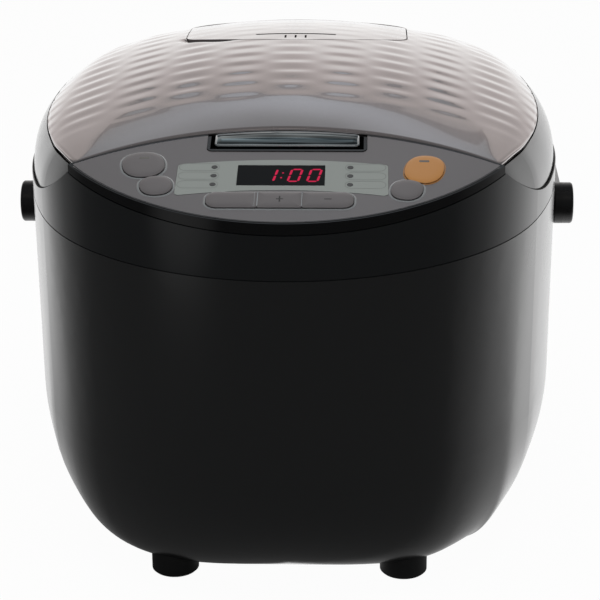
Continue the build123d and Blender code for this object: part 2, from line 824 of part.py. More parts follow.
def latch_bezel():
    outer = latch_recess(-fit)
    inner_width = latch_recess_width - 2 * latch_guard
    inner_v = latch_recess_front_v + latch_guard + latch_reach / 2
    inner = Pos(0, inner_v) * Rectangle(inner_width, latch_reach)
    floor_top = underside - bezel_depth
    wall = on_panel(outer - inner, floor_top, bezel_proud)
    floor = on_panel(outer, floor_top - bezel_floor, floor_top)
    floor -= on_panel(lever_outline(lever_gap), -far, far)
    behind = prism(lens_disc(-running - curve_play - frame_wall - fit), 0, far)
    return (wall + floor) & behind


def latch_button():
    """The chromed bar, rounded along its top, with its front and rear following the panel's rear edge."""
    outline = Pos(0, latch_front_v + latch_reach / 2) * Rectangle(latch_width, latch_reach)
    bar = on_panel(outline, latch_bottom, latch_top)
    bar = bar & prism(lens_disc(-running - curve_play - frame_wall - latch_rear_gap), 0, far)
    top = bar.faces().filter_by(panel_plane).sort_by(Axis.Z)[-1]
    return fillet(top.edges(), latch_round)


def latch_lever():
    """The slide under the button, with the nose that faces the lid's catch."""
    return on_panel(lever_outline(), lever_bottom, latch_bottom)


# ---------------------------------------------------------------- lid
gasket_outer = 115.0
gasket_lip = 3.5          # width of each of the gasket's two lips
gasket_channel = 2.0      # height of the channel between them, over the pot's rim
plate_radius = 103.0
plate_thickness = 1.2
plate_z = 186.0
steam_holes = 8
steam_hole_radius = 1.5
steam_hole_circle = 8.0
grommet_y = 20.0
grommet_radius = 7.0
grommet_knob = 2.5        # height of the knob under the plate
grommet_overlap = 2.0     # how far that knob reaches past the hole
sensor_y = -20.0
lid_sensor_radius = 5.0
lid_sensor_gap = 0.5
lid_sensor_reach = 1.0    # how far the sensor shows under the plate
catch_low = 12.0          # the catch, over the joint between lid and ring
catch_high = 24.0
catch_width = 28.0
catch_thickness = 1.2
liner_screw_head = 2.6
liner_screw_head_height = 1.5
liner_screw_grip = 4.0    # how far a liner screw goes into its boss
liner_boss_depth = 5.0
liner_side_screws = ((124.0, 10.0), (101.0, 107.0))
liner_front_screw = (60.0, -76.0)
liner_rise = 3.0          # the liner's underside over the joint between lid and ring
liner_thickness = 2.5
liner_z = rim_z + liner_rise
valve_y = 57.0
valve_bore = 13.0
valve_wall = 2.0
vent_stem = 12.2
vent_stem_wall = 1.8
vent_stem_gap = 0.4
vent_stem_foot = 20.0     # of the vent's stem, over the liner
vent_half_width = 60.0
vent_front_y = 21.0
vent_front_radius = 110.0
vent_rear_y = 92.0
vent_corner = 9.0
slot_width = 43.0
slot_depth = 2.2
slot_y = 34.0
slit_width = 1.0
slit_pitch = 5.4
slit_front_y = 24.5
slit_length = 6.0


def lid_front(offset=0.0):
    """The region behind the panel's rear edge."""
    return prism(lens_disc(running / 2 + curve_play + offset), 0, far)


def vent_outline(offset=0.0):
    half = vent_half_width + offset
    radius = vent_front_radius + offset
    centre_y = vent_front_y + vent_front_radius
    corner_y = centre_y - sqrt(radius**2 - half**2)
    rear = vent_rear_y + offset
    edges = [
        ThreePointArc((-half, corner_y), (0, vent_front_y - offset), (half, corner_y)),
        Line((half, corner_y), (half, rear)),
        Line((half, rear), (-half, rear)),
        Line((-half, rear), (-half, corner_y)),
    ]
    shape = make_face(edges)
    return fillet(shape.vertices(), vent_corner)


def liner_screw_places():
    places = [*liner_side_screws, liner_front_screw]
    return [(sx * x, y) for x, y in places for sx in (-1, 1)]


def cover_zone(offset):
    """Where the lid's outer skin belongs to the cover."""
    return prism(cover_outline(offset), cover_low_z - offset, far)


def lid_cover(form, under):
    cover = (form - under) & cover_zone(-cover_gap) & above_split(running / 2)
    cover -= lid_front()
    return cover - prism(vent_outline(cover_gap), 0, far)


def lid_frame(form, under, inner):
    """The lid's side band and the skin under the cover."""
    frame = form - inner - lid_front()
    frame -= (form - under) & cover_zone(cover_gap)
    front_wall = (form - lid_front()) & lid_front(skin)
    front_wall -= form - under
    frame += front_wall
    frame = frame & above_split(running / 2)
    frame -= Pos(0, valve_y, 0) * extrude(Circle(vent_stem + vent_stem_gap), far)
    for x, y in liner_screw_places():
        top = liner_height(y, boss_radius) + liner_thickness
        frame += (Pos(x, y, top) * extrude(Circle(boss_radius), far)) & inner
        frame -= Pos(x, y, top) * extrude(Circle(screw_radius), liner_boss_depth)
    return frame


def liner_height(y, reach=0.0):
    """The liner's underside at a depth y, or its highest within reach in front of that."""
    run = max(0.0, split_flat_end_y - y + reach)
    return liner_z + split_arc_radius - sqrt(split_arc_radius**2 - run**2)


def lid_liner(inner):
    """The lid's underside, following the joint with the ring."""
    plate = (prism(oval(lid_inset + 2 * skin + fit), 0, far) & inner) & above_split(liner_rise)
    plate -= above_split(liner_rise + liner_thickness)
    plate -= lid_front(skin + fit)
    plate -= Pos(0, valve_y, 0) * extrude(Circle(valve_bore), far)
    for x, y in liner_screw_places():
        plate -= Pos(x, y, 0) * extrude(Circle(screw_radius), far)
    return plate


def lid_screws():
    screws = []
    for x, y in liner_screw_places():
        low = liner_height(y, -liner_screw_head)
        head = extrude(Circle(liner_screw_head), liner_screw_head_height)
        head = Pos(x, y, low - liner_screw_head_height) * head
        shaft = Pos(x, y, low) * extrude(Circle(screw_radius), liner_thickness + liner_screw_grip)
        screws.append(head + shaft)
    return screws


def lid_gasket():
    ring = tube(gasket_outer, plate_radius, pot_rim_z + running, liner_z)
    channel_top = pot_rim_z + gasket_channel
    ring -= tube(gasket_outer - gasket_lip, plate_radius + gasket_lip, pot_rim_z, channel_top)
    return Pos(0, pot_y, 0) * ring


def inner_lid_plate():
    plate = Pos(0, pot_y, plate_z) * extrude(Circle(plate_radius), plate_thickness)
    hole = Pos(steam_hole_circle, 0, 0) * extrude(Circle(steam_hole_radius), far)
    for i in range(steam_holes):
        plate -= Pos(0, valve_y, 0) * Rot(0, 0, 360 * i / steam_holes) * hole
    plate -= Pos(0, grommet_y, 0) * extrude(Circle(grommet_radius), far)
    plate -= Pos(0, sensor_y, 0) * extrude(Circle(lid_sensor_radius + lid_sensor_gap), far)
    return plate


def plate_grommet():
    hub = Pos(0, grommet_y, plate_z) * extrude(Circle(grommet_radius), liner_z - plate_z)
    knob = extrude(Circle(grommet_radius + grommet_overlap), grommet_knob)
    return hub + Pos(0, grommet_y, plate_z - grommet_knob) * knob


def lid_sensor():
    low = plate_z - lid_sensor_reach
    return Pos(0, sensor_y, low) * extrude(Circle(lid_sensor_radius), liner_z - low)


def lid_catch():
    """The steel plate behind the lid's front wall that the latch holds."""
    inner = running / 2 + curve_play + skin
    band = lens_disc(inner + catch_thickness) - lens_disc(inner)
    middle = Pos(0, lens_rear_y) * Rectangle(catch_width, lens_rear_radius / 2)
    return prism(band & middle, rim_z + catch_low, rim_z + catch_high)


def valve_socket(inner):
    pipe = tube(valve_bore + valve_wall, valve_bore, liner_z + liner_thickness, far)
    return (Pos(0, valve_y, 0) * pipe) & inner


def steam_vent_cap(form, under):
    """The lift-out vent insert: a piece of the dome with a stem that sits in the valve socket."""
    cap = (form - under) & prism(vent_outline(-cover_gap), 0, far)
    cap -= Pos(0, slot_y, 0) * extrude(Rectangle(slot_width, slot_depth), far)
    slit = extrude(Rectangle(slit_width, slit_length), far)
    for i in (-1, 0, 1):
        cap -= Pos(i * slit_pitch, slit_front_y + slit_length / 2, 0) * slit
    stem = tube(vent_stem, vent_stem - vent_stem_wall, liner_z + vent_stem_foot, far)
    stem = (Pos(0, valve_y, 0) * stem) & under
    return cap + stem


knuckle_inner_x = 20.0
knuckle_outer_x = 34.0
ears_outer_x = 42.0
ears_inner_x = 12.0
web_height = 8.0          # of the knuckle's web over the hinge line
reach_length = 17.0       # of the arm from the knuckle into the lid
reach_height = 9.0
reach_root = 1.0          # how far the arm starts behind the hinge line
ear_reach = 16.0          # of an ear's block, from the hinge line to the ring
ear_height = 7.0
ear_drop = 0.5            # of the block's middle, under the hinge line
pin_end = 1.0             # how far the pin shows past the outer ears


def lid_hinge_arms(form):
    """Two knuckles on the lid that turn on the hinge pin."""
    arms = []
    length = knuckle_outer_x - knuckle_inner_x
    reach_y = hinge_y + reach_root - reach_length / 2
    reach_z = hinge_z + hinge_barrel + reach_height / 2
    for low in (-knuckle_outer_x, knuckle_inner_x):
        barrel = rod_along_x(hinge_barrel, low, low + length, hinge_y, hinge_z)
        middle = low + length / 2
        web = Pos(middle, hinge_y, hinge_z + web_height / 2) * Box(length, 2 * hinge_barrel, web_height)
        reach = Pos(middle, reach_y, reach_z) * Box(length, reach_length, reach_height)
        arm = barrel + web + reach
        arm -= form
        arm -= prism(oval(lid_inset), 0, far)
        arm -= prism(oval(-running), 0, rim_z + 1)
        arm -= rod_along_x(hinge_pin_radius + hinge_play, low - 1, low + length + 1, hinge_y, hinge_z)
        arms.append(arm)
    return arms


def hinge_ears():
    """Two pairs of ears on the ring's rear wall that hold the pin."""
    ears = []
    inner = (ears_inner_x, knuckle_inner_x - running)
    outer = (knuckle_outer_x + running, ears_outer_x)
    spans = [(-outer[1], -outer[0]), (-inner[1], -inner[0]), inner, outer]
    for low, high in spans:
        ear = rod_along_x(hinge_barrel, low, high, hinge_y, hinge_z)
        block = Box(high - low, ear_reach, ear_height)
        block = Pos((low + high) / 2, hinge_y - ear_reach / 2, hinge_z - ear_drop) * block
        ear += block - prism(oval(), 0, far)
        ears.append(ear - rod_along_x(hinge_pin_radius, -far, far, hinge_y, hinge_z))
    return ears


def hinge_pin():
    end = ears_outer_x + pin_end
    return rod_along_x(hinge_pin_radius, -end, end, hinge_y, hinge_z)


# ---------------------------------------------------------------- carrying handle
def carry_handle():
    """The bail: two flat arms, a rounded grip across the back, and an eye at each pivot."""
    outer_x = handle_inner_x + handle_arm
    outer_y = handle_reach + handle_grip / 2
    inner_y = handle_reach - handle_grip / 2
    outer = Pos(0, outer_y / 2) * Rectangle(2 * outer_x, outer_y)
    outer = fillet(outer.vertices().group_by(Axis.Y)[-1], handle_corner)
    inner = Pos(0, inner_y / 2 - 1) * Rectangle(2 * handle_inner_x, inner_y + 2)
    inner = fillet(inner.vertices().group_by(Axis.Y)[-1], handle_corner - handle_grip / 2)
    bail = Pos(0, pivot_y, pivot_z - handle_height / 2) * extrude(outer - inner, handle_height)
    for low in (handle_inner_x, -outer_x):
        bail += rod_along_x(handle_eye, low, low + handle_arm, pivot_y, pivot_z)
    return bail - rod_along_x(handle_pin_radius + hinge_play, -far, far, pivot_y, pivot_z)


def pivot_caps():
    caps = []
    outer_x = handle_inner_x + handle_arm
    for side in (-1, 1):
        low = outer_x if side > 0 else -outer_x - cap_thickness
        cap = rod_along_x(handle_eye, low, low + cap_thickness, pivot_y, pivot_z)
        face = cap.faces().sort_by(Axis.X)[-1 if side > 0 else 0]
        cap = fillet(face.edges(), cap_round)
        cap -= rod_along_x(cap_pocket_radius, 0, side * (outer_x + cap_pocket_depth), pivot_y, pivot_z)
        caps.append(cap)
    return caps


def pivot_bosses(form):
    bosses = []
    root = half_width - handle_boss_root
    for side in (-1, 1):
        boss = rod_along_x(handle_boss_radius, side * root, side * handle_boss_x, pivot_y, pivot_z) - form
        bosses.append(boss - rod_along_x(handle_pin_radius, -far, far, pivot_y, pivot_z))
    return bosses


def pivot_pins():
    pins = []
    wall_x = half_width - shell_wall - handle_washer
    head_x = handle_inner_x + handle_arm + handle_pin_gap
    nut_x = wall_x - handle_pin_nut_thickness
    end_x = head_x + handle_pin_head_thickness
    for side in (-1, 1):
        shaft = rod_along_x(handle_pin_radius, wall_x, head_x, pivot_y, pivot_z)
        head = rod_along_x(handle_pin_head, head_x, end_x, pivot_y, pivot_z)
        nut = rod_along_x(handle_pin_nut, nut_x, wall_x, pivot_y, pivot_z)
        pin = shaft + head + nut
        pins.append(pin if side > 0 else mirror(pin, Plane.YZ))
    return pins


# ---------------------------------------------------------------- assembly
def build_all():
    form = body_form()
    lid_outer = lid_form()
    cover_under = lid_form(skin)
    frame_under = lid_form(skin + layer_gap)
    lid_inner = lid_form(2 * skin + layer_gap)
    nodes = {
        "outer_shell": outer_shell(form),
        "base_plate": base_plate(),
        "feet": feet(form),
        "base_screws": base_screws(),
        "power_inlet": power_inlet(),
        "inlet_pins": inlet_pins(),
        "inner_sleeve": inner_sleeve(),
        "inner_pot": inner_pot(),
        "heating_plate": heating_plate(),
        "heater_posts": heater_posts(),
        "temperature_sensor": temperature_sensor(),
        "power_board": power_board(),
        "transformer": transformer(),
        "relay": relay(),
        "capacitors": capacitors(),
        "upper_ring": upper_ring(),
        "deck": deck(),
        "panel_frame": panel_frame(),
        "control_panel": control_panel(),
        "display_label": display_label(),
        "display_window": display_window(),
        "display_module": display_module(),
        "indicator_lights": indicator_lights(),
        "control_board": control_board(),
        "key_switches": key_switches(),
        "board_screws": board_screws(),
        "latch_bezel": latch_bezel(),
        "latch_button": latch_button(),
        "latch_lever": latch_lever(),
        "hinge_ears": hinge_ears(),
        "hinge_pin": hinge_pin(),
        "pivot_bosses": pivot_bosses(form),
        "pivot_pins": pivot_pins(),
        "carry_handle": carry_handle(),
        "pivot_caps": pivot_caps(),
        "lid_cover": lid_cover(lid_outer, cover_under),
        "lid_frame": lid_frame(lid_outer, frame_under, lid_inner),
        "lid_liner": lid_liner(lid_inner),
        "lid_screws": lid_screws(),
        "lid_gasket": lid_gasket(),
        "inner_lid_plate": inner_lid_plate(),
        "plate_grommet": plate_grommet(),
        "lid_sensor": lid_sensor(),
        "lid_catch": lid_catch(),
        "valve_socket": valve_socket(lid_inner),
        "steam_vent_cap": steam_vent_cap(lid_outer, cover_under),
        "lid_hinge_arms": lid_hinge_arms(lid_outer),
    }
    for name in key_names:
        nodes[name] = key(name)
    return nodes


def write_all():
    os.makedirs("parts", exist_ok=True)
    nodes = build_all()
    shapes = {}
    for name, made in nodes.items():
        solids = []
        for piece in made if isinstance(made, list) else [made]:
            solids += piece.solids()
        shapes[name] = Compound(solids) if len(solids) > 1 else solids[0]
    box = Compound(list(shapes.values())).bounding_box()
    to_origin = Pos(-(box.min.X + box.max.X) / 2, -(box.min.Y + box.max.Y) / 2, -box.min.Z)
    for name, shape in shapes.items():
        export_step(to_origin * shape, f"parts/{name}.step")


write_all()
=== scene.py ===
import math

import bpy
import numpy as np
from mathutils import Matrix, Vector
from mathutils.bvhtree import BVHTree


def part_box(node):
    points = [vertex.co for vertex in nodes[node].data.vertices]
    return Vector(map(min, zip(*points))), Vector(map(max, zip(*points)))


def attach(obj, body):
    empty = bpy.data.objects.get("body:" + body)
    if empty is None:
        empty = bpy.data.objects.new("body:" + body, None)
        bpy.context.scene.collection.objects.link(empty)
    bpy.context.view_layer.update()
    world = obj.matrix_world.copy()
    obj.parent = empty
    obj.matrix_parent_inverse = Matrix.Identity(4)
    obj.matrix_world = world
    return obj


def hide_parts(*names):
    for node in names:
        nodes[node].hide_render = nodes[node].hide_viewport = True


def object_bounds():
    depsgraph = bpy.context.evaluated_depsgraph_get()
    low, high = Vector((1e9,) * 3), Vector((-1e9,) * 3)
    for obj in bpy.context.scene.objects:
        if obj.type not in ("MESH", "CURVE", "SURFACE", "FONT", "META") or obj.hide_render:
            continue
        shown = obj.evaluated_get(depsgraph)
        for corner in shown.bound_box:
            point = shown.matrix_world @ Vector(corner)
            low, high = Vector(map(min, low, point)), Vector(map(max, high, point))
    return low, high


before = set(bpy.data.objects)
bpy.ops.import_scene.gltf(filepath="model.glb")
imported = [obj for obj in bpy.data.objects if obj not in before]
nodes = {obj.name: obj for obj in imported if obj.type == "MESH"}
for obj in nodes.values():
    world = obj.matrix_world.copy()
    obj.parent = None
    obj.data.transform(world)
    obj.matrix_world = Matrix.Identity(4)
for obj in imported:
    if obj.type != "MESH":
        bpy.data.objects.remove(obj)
cad_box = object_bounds()

# ---- driving dimensions
MM = 0.001
low, high = cad_box
body_middle_y = -14.05 * MM  # the body's centre line lies in front of the box's middle
panel_tilt = math.radians(12)
panel_start = 2.0  # behind the object's front, in mm: where places on the panel count from
panel_start_z = 204.6 * MM
panel_origin = Vector((0, low.y + panel_start * MM, panel_start_z))
panel_up = Vector((0, math.cos(panel_tilt), math.sin(panel_tilt)))
panel_normal = Vector((0, -math.sin(panel_tilt), math.cos(panel_tilt)))
arc_centre_y = body_middle_y - 270 * MM  # centre of the arc between the panel and the lid
dome_apex_y = body_middle_y + 20.3 * MM  # the lid's highest place
dome_side_radius = 386 * MM  # of its curves to the sides and to the rear
dome_rear_radius = 324 * MM
dome_front_drop = 1.468  # its bend to the front on the centre line, per metre
dome_front_spread = 103 * MM  # how far to the side that bend lasts
end_radius = 131.5  # plan radius of the body's front end, in mm
half_width = 138.3  # of the body, in mm
half_depth = 170.4
end_centre = half_depth - end_radius  # from the body's middle to the centre of each end's arc
side_radius = (half_width ** 2 + end_centre ** 2 - end_radius ** 2) / (2 * (half_width - end_radius))
join_angle = math.atan2(end_centre, side_radius - half_width)  # where the side's arc meets the end's
rim_z = 186.0  # level of the joint between ring and lid
split_flat_end_y = -52.0  # in front of this that joint rises in an arc
split_arc_radius = 97.0
end_middle_v = (end_radius - panel_start) / math.cos(panel_tilt)  # centre of the front end, on the panel
pivot_y = body_middle_y + 20 * MM  # the handle's pivots
pivot_z = 148 * MM
eye_radius = 11.4 * MM  # of the handle's round ends at the pivots


def on_panel(u, v, height=0.0):
    """A point by its place on the control panel's face and its height over it, all in millimetres."""
    return panel_origin + (Vector((u, 0, 0)) + v * panel_up + height * panel_normal) * MM


def panel_place(point):
    """The reverse: a point's place on the panel, in millimetres."""
    offset = (point - panel_origin) / MM
    return offset.x, offset.dot(panel_up), offset.dot(panel_normal)


def panel_places(node_name):
    """The places on the panel of all corners of a CAD node."""
    return [panel_place(v.co) for v in nodes[node_name].data.vertices]


def extent(places):
    """The left, right, front and rear ends of places on the panel, and their greatest height."""
    us, vs, heights = zip(*places)
    return min(us), max(us), min(vs), max(vs), max(heights)


# ---- shader helpers
mix_first = 6  # a Mix node's sockets for the two colours, and for its result
mix_second = 7
mix_result = 2


class Nodes:
    """A short way to write the node tree of a material or world."""

    def __init__(self, owner, output="OutputMaterial"):
        self.owner = owner
        owner.use_nodes = True
        self.tree = owner.node_tree
        self.tree.nodes.clear()
        self.output = self.add(output)

    def add(self, kind, **values):
        node = self.tree.nodes.new("ShaderNode" + kind)
        for name, value in values.items():
            setattr(node, name, value)
        return node

    def put(self, socket, value):
        """Sets a socket, or links another node's socket to it."""
        if isinstance(value, bpy.types.NodeSocket):
            self.tree.links.new(value, socket)
        else:
            socket.default_value = value

    def math(self, operation, a, b=0.0):
        node = self.add("Math", operation=operation)
        self.put(node.inputs[0], a)
        self.put(node.inputs[1], b)
        return node.outputs[0]

    def squares(self, a, b):
        return self.math("ADD", self.math("MULTIPLY", a, a), self.math("MULTIPLY", b, b))

    def length(self, a, b):
        """The length of a vector with the parts a and b."""
        return self.math("SQRT", self.squares(a, b))

    def show(self, shader):
        """Makes a shader what the material or world shows."""
        self.put(self.output.inputs[0], shader.outputs[0])

    def split(self, vector):
        node = self.add("SeparateXYZ")
        self.put(node.inputs[0], vector)
        return node.outputs

    def position(self):
        """The position at rest, in x, y and z."""
        return self.split(self.add("TexCoord").outputs["Object"])

    def noise(self, scale, detail=2.0, stretch=None):
        node = self.add("TexNoise")
        coords = self.add("TexCoord").outputs["Object"]
        if stretch:
            mapping = self.add("Mapping")
            mapping.inputs["Scale"].default_value = stretch
            self.put(mapping.inputs["Vector"], coords)
            coords = mapping.outputs[0]
        self.put(node.inputs["Vector"], coords)
        node.inputs["Scale"].default_value = scale
        node.inputs["Detail"].default_value = detail
        return node.outputs["Fac"]

    def mix(self, share, a, b):
        node = self.add("Mix", data_type="RGBA")
        self.put(node.inputs[0], share)
        self.put(node.inputs[mix_first], a)
        self.put(node.inputs[mix_second], b)
        return node.outputs[mix_result]

    def blend(self, share, first, second):
        """Two shaders mixed, from the first at share 0 to the second at 1."""
        node = self.add("MixShader")
        self.put(node.inputs[0], share)
        self.put(node.inputs[1], first.outputs[0])
        self.put(node.inputs[2], second.outputs[0])
        return node

    def span(self, value, low, high, to_low=0.0, to_high=1.0, smooth=False):
        node = self.add("MapRange", interpolation_type="SMOOTHSTEP" if smooth else "LINEAR")
        for socket, number in zip(node.inputs, (value, low, high, to_low, to_high)):
            self.put(socket, number)
        return node.outputs[0]

    def ramp(self, share, stops):
        """A colour that changes along share, from (place, colour) stops."""
        node = self.add("ValToRGB")
        elements = node.color_ramp.elements
        for element, (place, colour) in zip(elements, (stops[0], stops[-1])):
            element.position = place
            element.color = colour
        for place, colour in stops[1:-1]:
            elements.new(place).color = colour
        self.put(node.inputs[0], share)
        return node.outputs[0]

    def bump(self, height, distance):
        node = self.add("Bump")
        node.inputs["Strength"].default_value = 1.0
        node.inputs["Distance"].default_value = distance
        self.put(node.inputs["Height"], height)
        return node.outputs[0]

    def surface(self, colour, roughness, normal, **sockets):
        """A Principled surface; other sockets go by their names, with _ for a space."""
        shader = self.add("BsdfPrincipled")
        self.put(shader.inputs["Base Color"], colour)
        self.put(shader.inputs["Roughness"], roughness)
        self.put(shader.inputs["Normal"], normal)
        for name, value in sockets.items():
            self.put(shader.inputs[name.replace("_", " ")], value)
        self.show(shader)


materials = {}


def material_nodes(name, wearers=""):
    """The nodes of a new material, which the CAD nodes in wearers get."""
    materials[name] = bpy.data.materials.new(name)
    for wearer in wearers.split():
        slots = nodes[wearer].data.materials
        slots.clear()
        slots.append(materials[name])
    return Nodes(materials[name])


def grey(level):
    return (level, level, level, 1)


def shade(colour, factor):
    """A colour made lighter or darker."""
    return tuple(min(1.0, c * factor) for c in colour[:3]) + (1,)


# ---- lid pattern
wave_column = 26.0 * MM  # width of a column of scales
wave_row = 12.6 * MM  # from one scale to the next in a column
wave_depth = 0.17 * MM
wave_lean = 0.14  # makes each scale longer on the slope that faces the front
wave_front = 208.0 * MM  # distance from the arc's centre where the scales begin
wave_fade = 30.0 * MM  # the scales reach their full depth this much further back


def wave(x, y):
    """Height of the relief: parallel columns of scales in rows round the arc's centre, none in front."""
    reach = np.hypot(x, y - arc_centre_y)
    share = np.clip((reach - wave_front) / wave_fade, 0, 1)
    share = share * share * (3 - 2 * share)
    across = np.cos(math.pi * x / wave_column)
    turn = math.tau * reach / wave_row
    along = np.cos(turn) + wave_lean * np.sin(2 * turn)
    return wave_depth * across * along * share


# ---- materials
shell_colour = (0.0055, 0.0068, 0.0077, 1)
gloss_colour = (0.004, 0.0042, 0.0046, 1)
lid_colour = (0.47, 0.425, 0.42, 1)
label_colour = (0.34, 0.37, 0.35, 1)
orange_colour = (0.60, 0.28, 0.085, 1)
noise_range = (0.3, 0.7)  # nearly all of a noise lies in this range
cloud_noise = (18.0, 3.0)  # scale and detail of slow changes over a moulded piece


def moulded(name, wearers, colour, roughness, grain=2500.0, relief=0.02, spread=0.06, **sockets):
    """Moulded plastic: fine grain, slightly uneven gloss."""
    n = material_nodes(name, wearers)
    cloud = n.noise(*cloud_noise)
    rough = n.span(cloud, *noise_range, roughness - spread / 2, roughness + spread / 2)
    tint = n.mix(cloud, shade(colour, 0.94), shade(colour, 1.06))
    n.surface(tint, rough, n.bump(n.noise(grain, detail=1.0), relief * MM), **sockets)


def metal(name, wearers, colour, roughness, brushed=(1, 1, 1)):
    """Bare metal with fine marks; brushed says how close they lie along x, y and z."""
    n = material_nodes(name, wearers)
    marks = n.noise(scale=900.0, detail=3.0, stretch=brushed)
    rough = n.span(marks, *noise_range, roughness * 0.8, roughness * 1.2)
    tint = n.mix(marks, shade(colour, 0.9), colour)
    n.surface(tint, rough, n.bump(marks, 0.01 * MM), Metallic=1.0)


def lid_paint(name, wearers, relief=None):
    """Metallic paint under a clear coat, with the scales in the shader where relief is given."""
    n = material_nodes(name, wearers)
    flakes = n.noise(scale=6000.0, detail=0.0)
    tint = n.mix(n.span(flakes, 0.35, 0.65), shade(lid_colour, 0.92), shade(lid_colour, 1.05))
    normal = n.bump(flakes, 0.003 * MM)
    if relief:
        x, y, _ = n.position()
        reach = n.length(x, n.math("SUBTRACT", y, arc_centre_y))
        across = n.math("COSINE", n.math("MULTIPLY", x, math.pi / wave_column))
        turn = n.math("MULTIPLY", reach, math.tau / wave_row)
        lean = n.math("MULTIPLY", n.math("SINE", n.math("MULTIPLY", turn, 2.0)), wave_lean)
        along = n.math("ADD", n.math("COSINE", turn), lean)
        normal = n.bump(n.math("MULTIPLY", across, along), relief)
    n.surface(tint, 0.09, normal, Metallic=0.85,
              Coat_Weight=1.0, Coat_Roughness=0.02, Coat_IOR=1.7)


def black_paint(name, wearers, level, coat_roughness, coat=1.0, coat_ior=1.5):
    """Black paint under lacquer: very fine grain, with soft clouds in its gloss."""
    n = material_nodes(name, wearers)
    grain = n.noise(scale=3500.0, detail=1.0)
    rough = n.span(n.noise(scale=9.0), *noise_range, 0.27, 0.31)
    tint = n.mix(grain, shade(shell_colour, level * 0.9), shade(shell_colour, level * 1.1))
    n.surface(tint, rough, n.bump(grain, 0.004 * MM),
              Coat_Weight=coat, Coat_Roughness=coat_roughness, Coat_IOR=coat_ior)


def gloss_black(name, wearers):
    """Polished black plastic."""
    n = material_nodes(name, wearers)
    rough = n.span(n.noise(scale=30.0), *noise_range, 0.08, 0.12)
    tint = n.mix(n.noise(scale=60.0), shade(gloss_colour, 0.9), shade(gloss_colour, 1.1))
    n.surface(tint, rough, n.bump(n.noise(scale=700.0), 0.002 * MM))


def digit_red(name):
    """The glow of the lit segments."""
    n = material_nodes(name)
    glow = n.add("Emission")
    n.put(glow.inputs["Color"], n.mix(n.noise(scale=900.0), (0.50, 0.014, 0.055, 1), (0.66, 0.03, 0.09, 1)))
    glow.inputs["Strength"].default_value = 1.0
    n.show(glow)


def chrome_painted_streaks(name, wearers, dark, light):
    """Polished chrome with a slight streaked bump, and painted reflections: its colour runs in long streaks
    from dark to light.
    """
    n = material_nodes(name, wearers)
    streaks = n.noise(scale=420.0, stretch=(0.05, 1, 1))
    # painted reflection: the colour runs in streaks between dark and light
    colour = n.mix(n.span(streaks, 0.38, 0.62, smooth=True), dark, light)
    rough = n.span(n.noise(scale=200.0), *noise_range, 0.05, 0.08)
    n.surface(colour, rough, n.bump(streaks, 0.03 * MM), Metallic=1.0)


def handle_grey(name, wearers):
    """Grey arms and grip, black round the two pivots."""
    n = material_nodes(name, wearers)
    _, y, z = n.position()
    away = n.length(n.math("SUBTRACT", y, pivot_y), n.math("SUBTRACT", z, pivot_z))
    cloud = n.noise(*cloud_noise)
    eye = n.mix(cloud, grey(0.007), grey(0.009))
    arm = n.mix(cloud, grey(0.33), grey(0.38))
    tint = n.mix(n.span(away, eye_radius, eye_radius + 0.4 * MM), eye, arm)
    rough = n.span(cloud, *noise_range, 0.28, 0.36)
    n.surface(tint, rough, n.bump(n.noise(scale=2500.0, detail=1.0), 0.02 * MM))


black_paint("shell_paint", "outer_shell", level=0.9, coat_roughness=0.2, coat_ior=1.75)
black_paint("ring_paint", "upper_ring", level=1.5, coat_roughness=0.09, coat=0.64)
black_paint("side_paint", "lid_frame", level=1.0, coat_roughness=0.06, coat=0.8, coat_ior=1.36)
gloss_black("gloss_black", "panel_frame latch_bezel")
moulded("base_black", "base_plate power_inlet deck latch_lever hinge_ears pivot_bosses lid_catch "
        "lid_hinge_arms key_switches", grey(0.012), 0.4)
moulded("rubber", "feet", grey(0.011), 0.55, grain=1800.0, relief=0.04)
# near-black, low-gloss finish of the tubes in the side joints between ring and lid: painted shade of the
# deep seam
moulded("seam_shade_black", "", grey(0.004), 0.6, grain=1800.0, Specular_IOR_Level=0.12)
metal("zinc_steel", "base_screws heater_posts board_screws hinge_pin pivot_pins lid_screws",
      (0.55, 0.56, 0.56, 1), 0.35)
metal("brass", "inlet_pins", (0.7, 0.5, 0.22, 1), 0.25)
metal("spun_aluminium", "inner_sleeve heating_plate temperature_sensor inner_lid_plate lid_sensor",
      (0.7, 0.7, 0.71, 1), 0.3, brushed=(1, 1, 12))
moulded("pot_coating", "inner_pot", grey(0.03), 0.32, grain=4000.0, relief=0.03)
moulded("board_green", "power_board control_board", (0.02, 0.12, 0.045, 1), 0.4)
moulded("core", "transformer", (0.35, 0.3, 0.15, 1), 0.5)
moulded("relay_blue", "relay", (0.02, 0.06, 0.25, 1), 0.3)
moulded("capacitor", "capacitors", (0.02, 0.02, 0.08, 1), 0.3)
moulded("white_plastic", "display_module", grey(0.6), 0.4)
moulded("liner_grey", "lid_liner valve_socket", grey(0.42), 0.45)
moulded("silicone", "lid_gasket plate_grommet", grey(0.6), 0.5)
moulded("panel_grey", "control_panel", (0.14, 0.131, 0.134, 1), 0.32, grain=5000.0, relief=0.004,
        Coat_Weight=0.6, Coat_Roughness=0.12)
moulded("label_grey", "display_label", label_colour, 0.35, grain=5000.0, relief=0.003)
moulded("label_line", "", shade(label_colour, 0.68), 0.35, grain=5000.0, relief=0.003)
moulded("label_dot", "indicator_lights", grey(0.06), 0.2, grain=5000.0, relief=0.003)
moulded("key_grey", "key_cancel key_delay key_menu key_time key_plus key_minus",
        (0.165, 0.155, 0.158, 1), 0.3, grain=5000.0, relief=0.004)
moulded("key_rim", "", (0.27, 0.285, 0.29, 1), 0.22, grain=3000.0, relief=0.003, Coat_Weight=1.0)
moulded("key_orange_rim", "", shade(orange_colour, 0.8), 0.3, grain=3000.0, relief=0.003)
moulded("key_mark", "", grey(0.03), 0.35, grain=3000.0, relief=0.003)
moulded("key_bar", "", (0.16, 0.155, 0.14, 1), 0.2, grain=3000.0, relief=0.003)
moulded("key_orange", "key_start", orange_colour, 0.3, grain=5000.0, relief=0.004)
